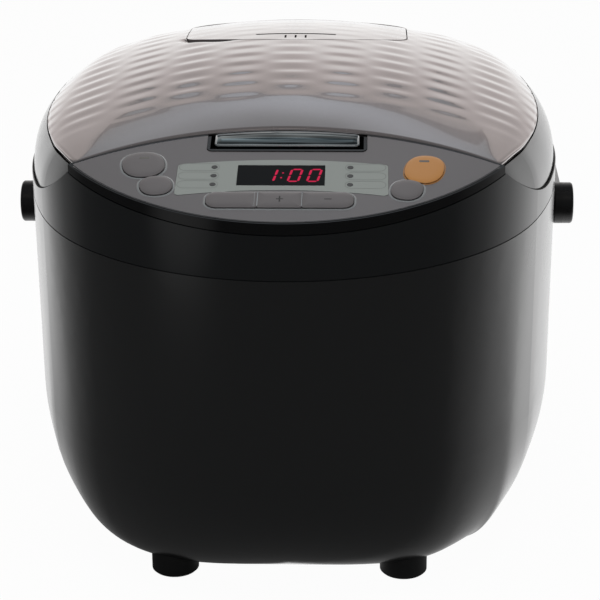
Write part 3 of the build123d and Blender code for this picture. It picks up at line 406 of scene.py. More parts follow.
handle_grey("handle_grey", "carry_handle")
moulded("cap_black", "pivot_caps", grey(0.008), 0.25)
# the latch's lips: chrome with faint painted streak reflections
chrome_painted_streaks("chrome", "latch_button", (0.70, 0.75, 0.77, 1), (0.80, 0.84, 0.86, 1))
# the latch's face: dark chrome colours with lighter streaks, a painted reflection of the surroundings
chrome_painted_streaks("chrome_face_painted_reflection", "", (0.03, 0.045, 0.05, 1), (0.34, 0.40, 0.41, 1))
digit_red("digit_red")
moulded("window_black", "display_window", grey(0.002), 0.09, grain=3000.0, relief=0.001, spread=0.02,
        Specular_IOR_Level=0.06)
lid_paint("lid_paint", "lid_cover")
lid_paint("vent_paint", "steam_vent_cap", relief=wave_depth)


# ---- mesh helpers
def piece(name, points, faces, material, body, smooth=True):
    """A new visible piece that rides on a body and takes its finish from a slot."""
    mesh = bpy.data.meshes.new(name)
    mesh.from_pydata([tuple(p) for p in points], [], faces)
    mesh.validate()
    mesh.polygons.foreach_set("use_smooth", [smooth] * len(mesh.polygons))
    mesh.materials.append(materials[material])
    made = bpy.data.objects.new(name, mesh)
    bpy.context.scene.collection.objects.link(made)
    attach(made, body)
    return made


def ring_faces(first, count, rows):
    """Quads between closed rows of points; row j starts at first + j * count."""
    faces = []
    for j in range(rows - 1):
        for i in range(count):
            here = first + j * count + i
            beside = first + j * count + (i + 1) % count
            faces.append((here, beside, beside + count, here + count))
    return faces


# ---- lid cover with its relief
cover_columns = 960  # points round the cover
cover_rows = 110  # points from the vent's opening to the cover's edge
under_step = 10  # one row in so many is repeated on the underside
cover_thickness = 2.3 * MM
cover_inset = 0.02 * MM  # keeps the outermost points on the CAD surface
edge_insets = (0.0, 0.08, 0.35, 0.6)  # of the rows that round the cover's edges, in mm
side_drops = (0.3, 0.12, 0.03, 0.0)  # how far those rows lie under the surface
front_drops = (0.95, 0.72, 0.16, 0.02)
side_fade_y = body_middle_y - 65 * MM  # near the front corners the sides' rounding is faded out
side_fade = 45 * MM  # it starts to fade this much further back
side_least = 0.1  # share of it that is left
front_reach = 185.3 * MM  # from the centre of the panel's arc to the cover's front edge
front_fade = 4 * MM  # the front's rounding ends this far behind that edge
notch_place = 4 * MM  # its deepest point from the vent's left edge
notch_end = 22 * MM  # how far it goes back along that edge
notch_long = 17 * MM  # its taper along the vent's front edge
notch_short = 6 * MM  # and round the corner
notch_width = 4.2 * MM
notch_depth = 1.8 * MM
smoothing_rounds = 60
scan_step = 2.0 * MM  # of the search for the cover's edges
halvings = 14  # that then find each edge closely


def height_at(tree, x, y):
    """Height of a surface seen from above, or None beside it."""
    hit = tree.ray_cast(Vector((x, y, 1)), Vector((0, 0, -1)))[0]
    return hit.z if hit else None


def edge_radius(tree, centre, direction, on, off):
    """The distance at which the surface ends, between one on it and one off it."""
    for _ in range(halvings):
        middle = (on + off) / 2
        point = centre + direction * middle
        if height_at(tree, point.x, point.y) is None:
            off = middle
        else:
            on = middle
    return on


def cover_radii(tree, centre, direction):
    """Distances of the cover's inner and outer edges from the vent's middle."""
    reach = scan_step
    while height_at(tree, *(centre + direction * reach).xy) is None:
        reach += scan_step
    inner = edge_radius(tree, centre, direction, reach, reach - scan_step)
    while height_at(tree, *(centre + direction * reach).xy) is not None:
        reach += scan_step
    return inner, edge_radius(tree, centre, direction, reach - scan_step, reach)


def dome_height(x, y):
    """The lid's plain form: round to the rear, and flatter towards its two front corners."""
    behind = y - dome_apex_y
    front_bend = dome_front_drop * np.exp(-(x / dome_front_spread) ** 2)
    bend = np.where(behind < 0, front_bend, 0.5 / dome_rear_radius)
    return high.z - x * x / (2 * dome_side_radius) - bend * behind * behind


def smoothed(plan):
    """The heights of a grid of points without the facets of the CAD mesh.

    What the surface leaves over the plain dome, such as its turn at the sides, is evened out.
    """
    form = dome_height(plan[:, :, 0], plan[:, :, 1])
    rest = plan[:, :, 2] - form
    for _ in range(smoothing_rounds):
        around = np.roll(rest, 1, axis=1) + np.roll(rest, -1, axis=1)
        rest[1:-1] = (around[1:-1] + rest[:-2] + rest[2:]) / 4
        rest[0] = rest[1]
        rest[-1] = 2 * rest[-2] - rest[-3]
    return form + rest


def finger_notch(plan, vent_low):
    """Depth of the notch for a finger in the cover, at the vent's left front corner."""
    edge = plan[0]
    along = edge[:, 0] - vent_low.x - notch_place
    reach = np.where(along > 0, notch_long, notch_short)
    in_front = np.clip((vent_low.y + notch_end - edge[:, 1]) / notch_place, 0, 1)
    from_edge = np.hypot(plan[:, :, 0] - edge[:, 0], plan[:, :, 1] - edge[:, 1])
    return notch_depth * in_front * np.exp(-(along / reach) ** 2) * np.exp(-(from_edge / notch_width) ** 2)


def cover_plan(vent_low, vent_high):
    """Points on the CAD cover, in rows round the vent, from its opening to the cover's outer edge."""
    mesh = nodes["lid_cover"].data
    corners = [v.co.copy() for v in mesh.vertices]
    tree = BVHTree.FromPolygons(corners, [tuple(p.vertices) for p in mesh.polygons])
    centre = Vector((0, (vent_low.y + vent_high.y) / 2, 0))
    plan = np.zeros((cover_rows, cover_columns, 3))
    for i in range(cover_columns):
        angle = math.tau * i / cover_columns
        direction = Vector((math.cos(angle), math.sin(angle), 0))
        inner, outer = cover_radii(tree, centre, direction)
        for j, share in enumerate(np.linspace(0, 1, cover_rows)):
            point = centre + direction * (inner + cover_inset + (outer - inner - 2 * cover_inset) * share)
            plan[j, i] = (point.x, point.y, height_at(tree, point.x, point.y))
    plan[:, :, 2] = smoothed(plan)
    return plan


def outer_edge(edge, outward):
    """Rows that round the cover's outer edge, more along its front than along its sides."""
    from_front = np.hypot(edge[:, 0], edge[:, 1] - arc_centre_y) - front_reach
    front = np.clip(1 - from_front / front_fade, 0, 1)[:, None]
    side = np.clip((edge[:, 1] - side_fade_y) / side_fade, side_least, 1)[:, None]
    rows = []
    for inset, side_drop, front_drop in reversed(list(zip(edge_insets, side_drops, front_drops))):
        drop = side_drop * side * (1 - front) + front_drop * front
        rows.append(edge - outward * inset * MM - drop * MM * np.array((0, 0, 1)))
    return rows


def lid_relief():
    """The lid cover as a closed skin: the relief on top, rounded edges and a plain underside."""
    vent_low, vent_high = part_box("steam_vent_cap")
    plan = cover_plan(vent_low, vent_high)
    top = plan.copy()
    top[:, :, 2] += wave(plan[:, :, 0], plan[:, :, 1]) - finger_notch(plan, vent_low)
    outward = plan[-1] - plan[0]
    outward[:, 2] = 0
    outward /= np.linalg.norm(outward, axis=1)[:, None]
    rows = []
    for inset, drop in zip(edge_insets, side_drops):
        rows.append(top[0] + outward * inset * MM - (0, 0, drop * MM))
    rows.extend(top[1:-1])
    rows.extend(outer_edge(top[-1], outward))
    for j in [*range(cover_rows - 1, 0, -under_step), 0]:
        rows.append(plan[j] - (0, 0, cover_thickness))
    points = np.concatenate(rows)
    faces = [tuple(k % len(points) for k in face) for face in ring_faces(0, cover_columns, len(rows) + 1)]
    cover = piece("lid_cover_relief", points, faces, "lid_paint", "lid")
    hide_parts("lid_cover")


# ---- latch button
latch_base = -4.9  # height of its underside over the panel's face, in mm
latch_lip = (0.0, 0.12, 0.3, 0.55, 0.8, 1.0, 1.15, 1.4)  # distances from the edge
latch_lip_height = (0.75, 1.2, 1.45, 1.55, 1.45, 1.2, 0.95, 0.8)
latch_crown = 0.9  # rise of the face between the lips
crown_start = 1.6  # it is reached this many times the lips' width from the edge
latch_corner = 2.2
latch_across = 60  # steps of the face between the lips
latch_along = 12


def spread(low, high, middle_steps):
    """Places between low and high, close together along the lips."""
    inner_low = low + latch_lip[-1]
    inner_high = high - latch_lip[-1]
    middle = [inner_low + (inner_high - inner_low) * i / middle_steps for i in range(1, middle_steps)]
    return [low + d for d in latch_lip] + middle + [high - d for d in reversed(latch_lip)]


def latch_top():
    """The points on top of the bar, column by column, and the number of columns."""
    corners = panel_places("latch_button")
    _, half, front, _, _ = extent(corners)
    rear_middle = max(v for _, v, h in corners if h > 0)
    reach = (on_panel(0, rear_middle).y - arc_centre_y) / MM
    columns = spread(-half, half, latch_across)
    points = []
    for u in columns:
        sag = (reach - math.sqrt(reach**2 - u * u)) / math.cos(panel_tilt)
        from_end = half - abs(u)
        cut = max(0.0, latch_corner - from_end)
        trim = latch_corner - math.sqrt(latch_corner**2 - cut**2)
        lines = spread(front + trim, rear_middle - sag - trim, latch_along)
        for v in lines:
            edge = min(from_end, v - lines[0], lines[-1] - v)
            across = (v - lines[0]) / (lines[-1] - lines[0]) * 2 - 1
            height = float(np.interp(edge, latch_lip, latch_lip_height))
            height += latch_crown * (1 - across**2) * min(1.0, edge / latch_lip[-1] / crown_start)
            points.append(on_panel(u, v, height))
    return points, len(columns)


def latch_bar():
    """The chrome bar of the latch: bright lips round a face with painted dark and streaked reflections,
    walls and a flat underside.
    """
    points, wide = latch_top()
    deep = len(points) // wide
    grid = np.arange(len(points)).reshape(wide, deep)
    quads = np.stack((grid[:-1, :-1], grid[1:, :-1], grid[1:, 1:], grid[:-1, 1:]), axis=2)
    faces = quads.reshape(-1, 4).tolist()
    border = np.concatenate((grid[:, 0], grid[-1, 1:], grid[-2::-1, -1], grid[0, -2:0:-1])).tolist()
    start = len(points)
    for index in border:
        u, v, _ = panel_place(points[index])
        points.append(on_panel(u, v, latch_base))
    for k, index in enumerate(border):
        after = (k + 1) % len(border)
        faces.append((index, start + k, start + after, border[after]))
    faces.append(tuple(range(start + len(border) - 1, start - 1, -1)))
    bar = piece("latch_chrome_bar", points, faces, "chrome", "latch")
    bar.data.materials.append(materials["chrome_face_painted_reflection"])
    # the face between the lips takes the painted dark and streaked reflection
    lip = len(latch_lip) - 2
    for polygon in bar.data.polygons:
        i, j = divmod(polygon.vertices[0], deep)
        if lip <= i < wide - 1 - lip and lip <= j < deep - 1 - lip:
            polygon.material_index = 1
    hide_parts("latch_button")


# ---- panel print, rims and display
oval_points = 72
corner_power = 0.86  # 1 for an ellipse, less for fuller corners


def fuller(part):
    return math.copysign(abs(part) ** corner_power, part)


def squircle(u, v, width, height, tilt, grow):
    """An oval with full corners, turned by tilt degrees and grown all round."""
    cos_t = math.cos(math.radians(tilt))
    sin_t = math.sin(math.radians(tilt))
    points = []
    for i in range(oval_points):
        turn = math.tau * i / oval_points
        a = fuller(math.cos(turn)) * (width / 2 + grow)
        b = fuller(math.sin(turn)) * (height / 2 + grow)
        points.append((u + a * cos_t - b * sin_t, v + a * sin_t + b * cos_t))
    return points


def rounded(left, right, bottom, top, radii, grow=0.0, count=12):
    """A rectangle with round corners; radii are for its left and right ones."""
    at_left, at_right = radii
    corners = (
        (right - at_right, top - at_right, at_right, 0),
        (left + at_left, top - at_left, at_left, 90),
        (left + at_left, bottom + at_left, at_left, 180),
        (right - at_right, bottom + at_right, at_right, 270),
    )
    points = []
    for u, v, radius, start in corners:
        for i in range(count + 1):
            turn = math.radians(start + 90 * i / count)
            points.append((u + (radius + grow) * math.cos(turn), v + (radius + grow) * math.sin(turn)))
    return points


def oblong(left, right, bottom, top):
    """The corners of a plain rectangle."""
    return [(left, bottom), (right, bottom), (right, top), (left, top)]


def disc(u, v, radius, count):
    turns = [math.tau * i / count for i in range(count)]
    return [(u + radius * math.cos(t), v + radius * math.sin(t)) for t in turns]


def bead(name, outlines, heights, material, body, closed=False):
    """A raised form between nested outlines, each at its own height or heights over the panel."""
    points = []
    for outline, height in zip(outlines, heights):
        levels = height if isinstance(height, list) else [height] * len(outline)
        points.extend(on_panel(u, v, level) for (u, v), level in zip(outline, levels))
    count = len(outlines[0])
    faces = ring_faces(0, count, len(outlines))
    if closed:
        faces.append(tuple(range(len(points) - count, len(points))))
    return piece(name, points, faces, material, body)


def plate(name, shapes, base, top, material, body):
    """Flat raised shapes, each given by its outline on the panel."""
    points = []
    faces = []
    for outline in shapes:
        start = len(points)
        count = len(outline)
        points.extend(on_panel(u, v, base) for u, v in outline)
        points.extend(on_panel(u, v, top) for u, v in outline)
        faces.extend(ring_faces(start, count, 2))
        faces.append(tuple(range(start + count, start + 2 * count)))
        faces.append(tuple(range(start + count - 1, start - 1, -1)))
    return piece(name, points, faces, material, body, smooth=False)


cap_foot = 0.1  # a key's cap is what stands higher than this over the panel's face


def key_face(name):
    """The extent of a key's cap."""
    return extent([place for place in panel_places(name) if place[2] > cap_foot])


oval_keys = {  # the turn of each in degrees, and the key beside it
    "key_cancel": (10, "key_delay"),
    "key_delay": (10, "key_cancel"),
    "key_start": (-10, "key_menu"),
    "key_menu": (-10, "key_start"),
}
key_gap = 0.35  # from a key to its rim
rim_width = 1.15
rim_lip = 0.15  # width of a rim's steep inner edge
rim_level = 0.55  # share of its width up to which it is level
rim_height = 0.25
rim_foot = -0.3  # also its height where the next key leaves no room
rim_room = 0.2  # from a rim to the next key
rim_step = 0.02  # between its outlines where the next key leaves little room
rim_squeeze = 0.9  # it has no room nearer to its key than this share of the gap
orange_narrow = 0.4  # width of the orange key's rim, as a share of the others'
near_enough = 0.002  # of the search for a clear place, as a share of the way
strip_corner = 5.0  # radius of the key strip's outer corners
inner_corner = 0.9
least_corner = 0.3
print_height = 0.03  # thickness of printed marks
cap_insets = (-0.2, -0.08, 0.3, 0.8, 1.6, 2.8, 4.2)
cap_rises = (-0.12, 0.03, 0.13, 0.25, 0.36, 0.44, 0.48)  # over the top of the CAD key


def key_outline(name, grow):
    """The outline of a key cap, grown by grow all round."""
    left, right, front, rear, _ = key_face(name)
    if name in oval_keys:
        middle = ((left + right) / 2, (front + rear) / 2)
        return squircle(*middle, right - left, rear - front, oval_keys[name][0], grow)
    radii = {"key_time": (strip_corner, inner_corner), "key_plus": (inner_corner, inner_corner),
             "key_minus": (inner_corner, strip_corner)}[name]
    if grow < 0:
        left, right, front, rear = left - grow, right + grow, front - grow, rear + grow
        radii = [max(least_corner, r + grow) for r in radii]
        grow = 0
    return rounded(left, right, front, rear, radii, grow)


def inside(point, outline):
    """Whether a point lies within an outline."""
    u, v = point
    within = False
    for (u1, v1), (u2, v2) in zip(outline, outline[1:] + outline[:1]):
        if (v1 > v) != (v2 > v) and u < u1 + (u2 - u1) * (v - v1) / (v2 - v1):
            within = not within
    return within


def clear_outline(name, grow, room):
    """A key's grown outline, drawn back where it would come within room of the key beside it."""
    outer = key_outline(name, grow)
    if grow <= 0 or name not in oval_keys:
        return outer
    barrier = key_outline(oval_keys[name][1], room)
    kept = []
    for start, end in zip(key_outline(name, 0.0), outer):
        near, far = 0.0, 1.0
        place = end
        while inside(place, barrier) and far - near > near_enough:
            far = (near + far) / 2
            place = tuple(s + (e - s) * far for s, e in zip(start, end))
        kept.append(place)
    return kept


def key_caps():
    """Pillowed tops on the keys."""
    for name in [*oval_keys, "key_time", "key_plus", "key_minus"]:
        top = key_face(name)[4]
        outlines = [clear_outline(name, -inset, -cap_insets[0]) for inset in cap_insets]
        finish = "key_orange" if name == "key_start" else "key_grey"
        bead("cap_" + name[4:], outlines, [top + rise for rise in cap_rises], finish,
             name[4:] + "_key", closed=True)


def key_rims():
    """The clear moulded rims that show round the keys."""
    grows = (key_gap, key_gap + rim_lip, key_gap + rim_level * rim_width, key_gap + rim_width)
    heights = (rim_foot, rim_height, rim_height, 0.0)
    for name in oval_keys:
        narrow = orange_narrow if name == "key_start" else 1.0
        outlines = []
        for i, grow in enumerate(grows):
            room = rim_room + rim_step * (len(grows) - 1 - i)
            outlines.append(clear_outline(name, key_gap + (grow - key_gap) * narrow, room))
        cap_edge = key_outline(name, 0.0)
        levels = []
        for outline, height in zip(outlines, heights):
            squeezed = [math.dist(p, q) < rim_squeeze * key_gap for p, q in zip(outline, cap_edge)]
            levels.append([rim_foot if tight else height for tight in squeezed])
        material = "key_orange_rim" if name == "key_start" else "key_rim"
        bead("rim_" + name[4:], outlines, levels, material, "cooker_body")
    left, _, front, rear, _ = key_face("key_time")
    right = key_face("key_minus")[1]
    outlines = [rounded(left, right, front, rear, (strip_corner, strip_corner), grow) for grow in grows]
    bead("rim_strip", outlines, heights, "key_rim", "cooker_body")


rib_places = (  # key, its edge (0 left, 1 right), distance inside that, half the rib's width
    ("key_time", 1, 1.3, 0.35),
    ("key_plus", 0, 0.0, 0.28),
    ("key_plus", 1, 0.0, 0.22),
)
rib_short = 0.8  # a rib ends this far from the strip's front and rear edges
rib_corner = 0.15
rib_foot = -0.1  # under and over the top of the CAD key
rib_rise = 0.3


def key_ribs():
    """The light ribs along the joints between the strip's keys."""
    for name, edge, inward, half in rib_places:
        left, right, front, rear, top = key_face(name)
        u = right - inward if edge else left + inward
        rib = rounded(u - half, u + half, front + rib_short, rear - rib_short, [rib_corner] * 2, count=3)
        plate("rib_%s_%d" % (name[4:], edge), [rib], top + rib_foot, top + rib_rise, "key_rim",
              name[4:] + "_key")


sign_arm = 1.7  # half the length of the signs' level line
sign_tall = 2.55  # and of the plus sign's upright one
sign_half = 0.36  # half the width of both
sign_sunk = 0.02
bar_from_rear = 6.0  # the light bars' middle from the key's rear edge
bar_half_length = 2.4
bar_half_width = 0.9
bar_corner = 0.5
bar_sunk = 0.15


def key_signs():
    """The plus and minus signs, and the light bars of the two large keys."""
    for name in ("key_plus", "key_minus"):
        left, right, front, rear, top = key_face(name)
        u = (left + right) / 2
        v = (front + rear) / 2
        shapes = [oblong(u - sign_arm, u + sign_arm, v - sign_half, v + sign_half)]
        if name == "key_plus":
            shapes.append(oblong(u - sign_half, u + sign_half, v + sign_half, v + sign_tall))
            shapes.append(oblong(u - sign_half, u + sign_half, v - sign_tall, v - sign_half))
        face = top + cap_rises[-1]
        plate("sign_" + name[4:], shapes, face - sign_sunk, face + print_height, "key_mark",
              name[4:] + "_key")
    for name, slot in (("key_start", "key_orange"), ("key_cancel", "key_grey")):
        left, right, _, rear, top = key_face(name)
        u = (left + right) / 2
        v = rear - bar_from_rear
        face = top + cap_rises[-1]
        bar = rounded(u - bar_half_length, u + bar_half_length, v - bar_half_width, v + bar_half_width,
                      [bar_corner] * 2, count=4)
        plate("bar_" + name[4:], [bar], face - bar_sunk, face + print_height, "key_bar",
              name[4:] + "_key")


label_top = 0.1  # the label's face over the panel's face
light_top = -0.5  # the lights' tops lie higher than this
light_gap = 4  # lights lie further apart than this
pill_from_light = 3.6
pill_length = 19.6
pill_half = 3.5
pill_corner = 3.45
pill_line = 0.36  # width of the printed line


def label_pills():
    """Thin outlines beside the programme lights, with no words in them."""
    lights = panel_places("indicator_lights")
    places = []
    for v in sorted({round(v) for _, v, h in lights if h > light_top}):
        if not places or v - places[-1][-1] > light_gap:
            places.append([v])
        else:
            places[-1].append(v)
    middles = [(group[0] + group[-1]) / 2 for group in places]
    for side, hand, u in zip(("left", "right"), (-1, 1), extent(lights)):
        near = u - hand * pill_from_light
        far = near + hand * pill_length
        for k, v in enumerate(middles):
            place = (min(near, far), max(near, far), v - pill_half, v + pill_half, [pill_corner] * 2)
            bead("pill_%s_%d" % (side, k), [rounded(*place), rounded(*place, -pill_line)],
                 [label_top + print_height] * 2, "label_line", "cooker_body")


seam_shade_front = math.radians(-36.4)  # ends of the painted seam shade, by the angle of the outline's normal
seam_shade_rear = math.radians(38)
seam_shade_inset = 0.78  # its middle inside the body's outline
seam_shade_radius = 0.36
seam_shade_rise = 0.17  # its middle over the middle of the joint
seam_shade_sides = 8  # of its section
seam_shade_rows = 91
panel_rim_inset = 1.0  # the rim's middle inside the body's outline
panel_rim_halves = (0.42, 0.38, 0.26, 0.1)
panel_rim_heights = (-0.1, 0.06, 0.15, 0.18)
panel_rim_reach = math.radians(51.5)  # to each side of the middle
panel_rim_points = 121


def outline_place(angle, inset):
    """A point of the body's outline, in mm, by the angle of its normal, moved inwards by inset."""
    at_side = abs(angle) < join_angle
    centre_x = half_width - side_radius if at_side else 0.0
    centre_y = 0.0 if at_side else math.copysign(end_centre, angle)
    radius = (side_radius if at_side else end_radius) - inset
    return centre_x + radius * math.cos(angle), centre_y + radius * math.sin(angle)


def split_height(y):
    """Height of the joint between ring and lid: level, then rising in an arc to the panel's corner."""
    run = max(0.0, split_flat_end_y - y)
    return rim_z + split_arc_radius - math.sqrt(split_arc_radius ** 2 - run ** 2)


def painted_seam_shade():
    """A thin dark tube in the joint between ring and lid at each side: painted shade of the deep seam."""
    for name, hand in (("seam_shade_right", 1), ("seam_shade_left", -1)):
        points = []
        for angle in np.linspace(seam_shade_front, seam_shade_rear, seam_shade_rows):
            middle_y = outline_place(angle, seam_shade_inset)[1]
            for k in range(seam_shade_sides):
                turn = hand * math.tau * k / seam_shade_sides
                x, y = outline_place(angle, seam_shade_inset - seam_shade_radius * math.cos(turn))
                z = split_height(middle_y) + seam_shade_rise + seam_shade_radius * math.sin(turn)
                points.append(Vector((hand * x * MM, body_middle_y + y * MM, z * MM)))
        faces = ring_faces(0, seam_shade_sides, seam_shade_rows)
        faces.append(tuple(range(seam_shade_sides - 1, -1, -1)))
        faces.append(tuple(range(len(points) - seam_shade_sides, len(points))))
        piece(name, points, faces, "seam_shade_black", "cooker_body")


def panel_rim():
    """The fine rounded rim between the grey panel and the ring."""
    outlines = []
    for half in panel_rim_halves:
        loop = []
        for side in (1, -1):
            radius = end_radius - panel_rim_inset + side * half
            for angle in side * np.linspace(-panel_rim_reach, panel_rim_reach, panel_rim_points):
                along = end_middle_v - radius * math.cos(angle) / math.cos(panel_tilt)
                loop.append((radius * math.sin(angle), along))
        outlines.append(loop)
    bead("panel_rim", outlines, panel_rim_heights, "gloss_black", "cooker_body",
         closed=True)


lens_radius = 1.5
lens_points = 32
lens_foot = -0.05  # under and over the label's face
lens_rise = 0.15


def light_lenses():
    """Dark lenses over the programme lights."""
    points = [place[:2] for place in panel_places("indicator_lights") if place[2] > light_top]
    centres = []
    for point in points:
        if not any(math.dist(point, centre) < light_gap for centre in centres):
            near = [p for p in points if math.dist(p, point) < 2 * lens_radius]
            centres.append((sum(u for u, _ in near) / len(near), sum(v for _, v in near) / len(near)))
    shapes = [disc(u, v, lens_radius, lens_points) for u, v in centres]
    plate("light_lenses", shapes, label_top + lens_foot, label_top + lens_rise, "label_dot",
          "cooker_body")


digit_height = 11.0
digit_width = 4.9
digit_slant = math.tan(math.radians(10))
segment_half = 0.56
segment_gap = 0.28
segments_of = {"0": "abcdef", "1": "bc"}
digit_places = (("0", 4.9), ("0", 14.1), ("1", 25.9))  # and how far each lies from the window's right edge
colon_place = 20.3
colon_half_gap = 2.2  # its dots lie this far from the middle
colon_dot = (0.5, 0.6)  # half their width and height
colon_points = 8
digit_thickness = 0.02


def segment(u0, v0, u1, v1):
    """A bar with pointed ends between two points of an upright digit."""
    length = math.hypot(u1 - u0, v1 - v0)
    du, dv = (u1 - u0) / length, (v1 - v0) / length
    first = segment_gap + segment_half
    last = length - segment_gap - segment_half
    corners = ((segment_gap, 0), (first, -1), (last, -1), (length - segment_gap, 0), (last, 1), (first, 1))
    outline = []
    for along, side in corners:
        u = u0 + du * along - dv * side * segment_half
        v = v0 + dv * along + du * side * segment_half
        outline.append((u, v))
    return outline


def digit(character, u, v):
    """The lit segments of one digit, slanted, with its middle at (u, v)."""
    half_w = digit_width / 2
    half_h = digit_height / 2
    ends = {
        "a": (-half_w, half_h, half_w, half_h), "b": (half_w, half_h, half_w, 0),
        "c": (half_w, 0, half_w, -half_h), "d": (-half_w, -half_h, half_w, -half_h),
        "e": (-half_w, -half_h, -half_w, 0), "f": (-half_w, 0, -half_w, half_h),
    }
    shapes = []
    for name in segments_of[character]:
        outline = segment(*ends[name])
        shapes.append([(u + a + b * digit_slant, v + b) for a, b in outline])
    return shapes


def display_digits():
    """The lit time, 1:00, at the right of the window."""
    _, right, front, rear, top = extent(panel_places("display_window"))
    middle = (front + rear) / 2
    shapes = []
    for character, place in digit_places:
        shapes.extend(digit(character, right - place, middle))
    for v in (middle - colon_half_gap, middle + colon_half_gap):
        u = right - colon_place + (v - middle) * digit_slant
        around = disc(0, 0, 1, colon_points)
        shapes.append([(u + colon_dot[0] * a, v + colon_dot[1] * b) for a, b in around])
    plate("display_digits", shapes, top, top + digit_thickness, "digit_red",
          "cooker_body")


lid_relief()
latch_bar()
key_caps()
key_rims()
key_ribs()
key_signs()
label_pills()
panel_rim()
painted_seam_shade()
light_lenses()
display_digits()


# ---- camera, floor and light
def place_camera():
    distance = 1.2
    elevation = math.radians(22)
    azimuth = math.radians(2.0)
    roll = math.radians(0.45)
    target = Vector((0.0022, body_middle_y, 0.0978))
    focal_share = 3.64  # focal length over sensor width
    data = bpy.data.cameras.new("camera")
    data.sensor_width = 36.0
    data.lens = data.sensor_width * focal_share
    data.clip_start = 0.05
    data.clip_end = 30
    camera = bpy.data.objects.new("camera", data)
    bpy.context.scene.collection.objects.link(camera)
    level = math.cos(elevation)
    back = Vector((math.sin(azimuth) * level, -math.cos(azimuth) * level, math.sin(elevation)))
    camera.location = target + back * distance
    turn = (-back).to_track_quat("-Z", "Y").to_matrix() @ Matrix.Rotation(-roll, 3, "Z")
    camera.rotation_euler = turn.to_euler()
    bpy.context.scene.camera = camera


floor_front = 0.15  # in gloss the floor is dim in front of a line this far before the middle
floor_lean = 0.2  # which runs forward to the right with this slope
backdrop_light = (  # how white it looks behind that line, by the sine of the turn from it
    (0.0, grey(0.07)),
    (0.30, grey(0.22)),
    (0.50, grey(0.52)),
    (0.68, grey(0.9)),
    (0.80, grey(1.0)),
)
glow_x = -0.50  # a pale patch in gloss, which shows in the body's left front
glow_y = -0.60
glow_reach = 0.05  # the square of its radius
glow_light = grey(0.36)
floor_white = 0.97  # share of plain white in the floor that the camera sees


def floor_material():
    """White to the camera, and a pale matt floor that takes the object's shadow.

    In gloss it is white behind and beside the object, and dim in front but for one patch.
    """
    n = material_nodes("floor_white")
    ray = n.add("LightPath")
    lit = n.add("BsdfDiffuse")
    n.put(lit.inputs["Color"], n.mix(n.noise(3.0), grey(0.82), grey(0.86)))
    x, y, _ = n.position()
    rear = n.math("ADD", n.math("ADD", y, floor_front), n.math("MULTIPLY", x, floor_lean))
    behind = n.math("MAXIMUM", n.math("DIVIDE", rear, n.length(x, rear)), 0.0)
    off_glow = n.squares(n.math("SUBTRACT", x, glow_x), n.math("SUBTRACT", y, glow_y))
    glow = n.span(off_glow, 0.0, glow_reach, 1.0, 0.0, smooth=True)
    mirrored = n.add("Emission")
    n.put(mirrored.inputs["Color"], n.mix(glow, n.ramp(behind, backdrop_light), glow_light))
    white = n.add("Emission")
    gloss = n.math("MAXIMUM", ray.outputs["Is Glossy Ray"], ray.outputs["Is Transmission Ray"])
    in_gloss = n.blend(gloss, lit, mirrored)
    to_camera = n.math("MULTIPLY", ray.outputs["Is Camera Ray"], floor_white)
    n.show(n.blend(to_camera, in_gloss, white))


def place_floor():
    floor_material()
    bpy.ops.mesh.primitive_plane_add(size=8, location=(0, 0, 0))
    floor = bpy.context.object
    floor.name = "floor"
    floor.data.materials.append(materials["floor_white"])


backdrop_by_height = (  # its colours by the sine of the elevation
    (0.0, (1.0, 0.99, 0.98, 1)),
    (0.36, (0.95, 0.93, 0.92, 1)),
    (0.55, (0.68, 0.64, 0.63, 1)),
    (0.70, (0.50, 0.47, 0.46, 1)),
    (0.85, (0.30, 0.29, 0.28, 1)),
    (1.0, (0.13, 0.13, 0.135, 1)),
)
ceiling_rim = (0.14, 0.14, 0.145, 1)
ceiling_colours = (  # the ceiling over the backdrop, from its rim inwards
    (0.0, (0.72, 0.79, 0.86, 1)),
    (0.08, (0.60, 0.66, 0.72, 1)),
    (0.17, (0.53, 0.57, 0.62, 1)),
    (0.28, (0.38, 0.41, 0.43, 1)),
    (0.38, (0.30, 0.32, 0.34, 1)),
    (1.0, ceiling_rim),
)
ceiling_slope = 0.88  # height over distance of the ceiling's edge, straight behind
ceiling_bend = 6.0  # how fast that edge comes down to the sides
ceiling_drop = 0.31  # and how far at most
ceiling_left = 0.035  # its middle lies this far to the left
ceiling_half = 0.22  # half its width
ceiling_rim_edge = 0.022  # width of its rim along its lower edge
ceiling_rim_side = 0.214  # and where the rim begins at its sides
ceiling_turn = 1.1  # its colours change to the sides by this share of the change upwards
dark_front = (0.10, 0.104, 0.108, 1)
backdrop_turn = 0.12  # the backdrop's middle lies to the right by this slope
backdrop_sides = (0.1, 0.9)  # it comes in between these sines of the turn to the rear
backdrop_top = (0.55, 0.75)  # and in front between these sines of the elevation
backdrop_lift = 0.8  # to the sides its colours are those of places higher by this share
horizon = 0.05  # least distance that the ceiling is reckoned with


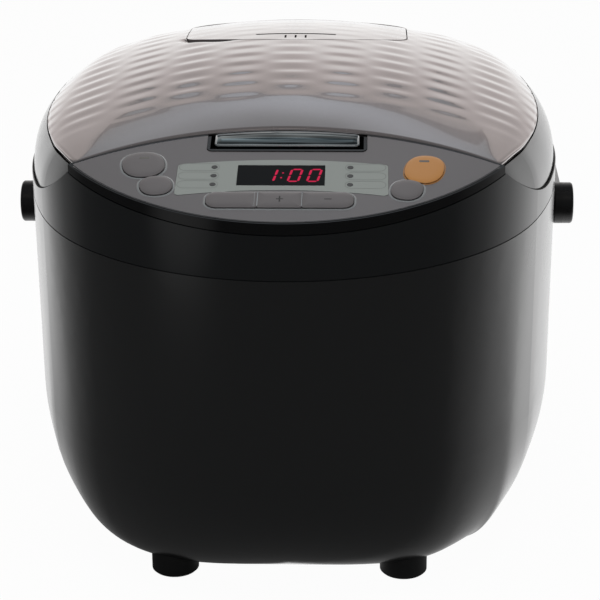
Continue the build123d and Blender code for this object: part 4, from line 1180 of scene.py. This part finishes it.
def place_world():
    """A white backdrop behind and beside the object, a cool ceiling over it, and a dim studio in front."""
    n = Nodes(bpy.data.worlds.new("studio"), "OutputWorld")
    x, y, z = n.split(n.add("TexCoord").outputs["Generated"])
    flat = n.math("SQRT", n.math("MAXIMUM", n.math("SUBTRACT", 1.0, n.math("MULTIPLY", z, z)), 0.0001))
    turned = n.math("ADD", y, n.math("MULTIPLY", x, backdrop_turn))
    behind = n.span(n.math("DIVIDE", turned, flat), *backdrop_sides, smooth=True)
    wrapped = n.math("MAXIMUM", behind, n.span(z, *backdrop_top, smooth=True))
    height = n.math("ADD", z, n.math("MULTIPLY", n.math("ABSOLUTE", x), backdrop_lift))
    studio = n.mix(wrapped, dark_front, n.ramp(height, backdrop_by_height))
    ahead = n.math("MAXIMUM", y, horizon)
    aside = n.math("ADD", n.math("DIVIDE", x, ahead), ceiling_left)
    bend = n.math("MULTIPLY", n.math("MULTIPLY", aside, aside), ceiling_bend)
    fall = n.math("MINIMUM", bend, ceiling_drop)
    over = n.math("ADD", n.math("SUBTRACT", n.math("DIVIDE", z, ahead), ceiling_slope), fall)
    off_middle = n.math("ABSOLUTE", aside)
    narrow = n.math("LESS_THAN", off_middle, ceiling_half)
    ceiling = n.math("MULTIPLY", n.math("GREATER_THAN", over, 0.0), narrow)
    around = n.add("Background")
    inwards = n.math("ADD", over, n.math("MULTIPLY", off_middle, ceiling_turn))
    at_edge = n.math("LESS_THAN", over, ceiling_rim_edge)
    rim = n.math("MAXIMUM", at_edge, n.math("GREATER_THAN", off_middle, ceiling_rim_side))
    tone = n.mix(rim, n.ramp(inwards, ceiling_colours), ceiling_rim)
    n.put(around.inputs["Color"], n.mix(ceiling, studio, tone))
    seen = n.add("Background")
    n.put(seen.inputs["Color"], (1, 1, 1, 1))
    ray = n.add("LightPath")
    n.show(n.blend(ray.outputs["Is Camera Ray"], around, seen))
    bpy.context.scene.world = n.owner


def place_lamp():
    """One soft box over the object, not seen in gloss."""
    data = bpy.data.lights.new("top_box", "AREA")
    data.shape = "RECTANGLE"
    data.size = 1.1
    data.size_y = 0.8
    data.energy = 11
    lamp = bpy.data.objects.new("top_box", data)
    bpy.context.scene.collection.objects.link(lamp)
    place = Vector((0, -0.15, 1.6))
    target = Vector((0, -0.05, 0.14))
    lamp.location = place
    lamp.rotation_euler = (target - place).to_track_quat("-Z", "Y").to_euler()
    lamp.visible_glossy = False


place_camera()
place_floor()
place_world()
place_lamp()
bpy.context.scene.view_settings.view_transform = "Standard"
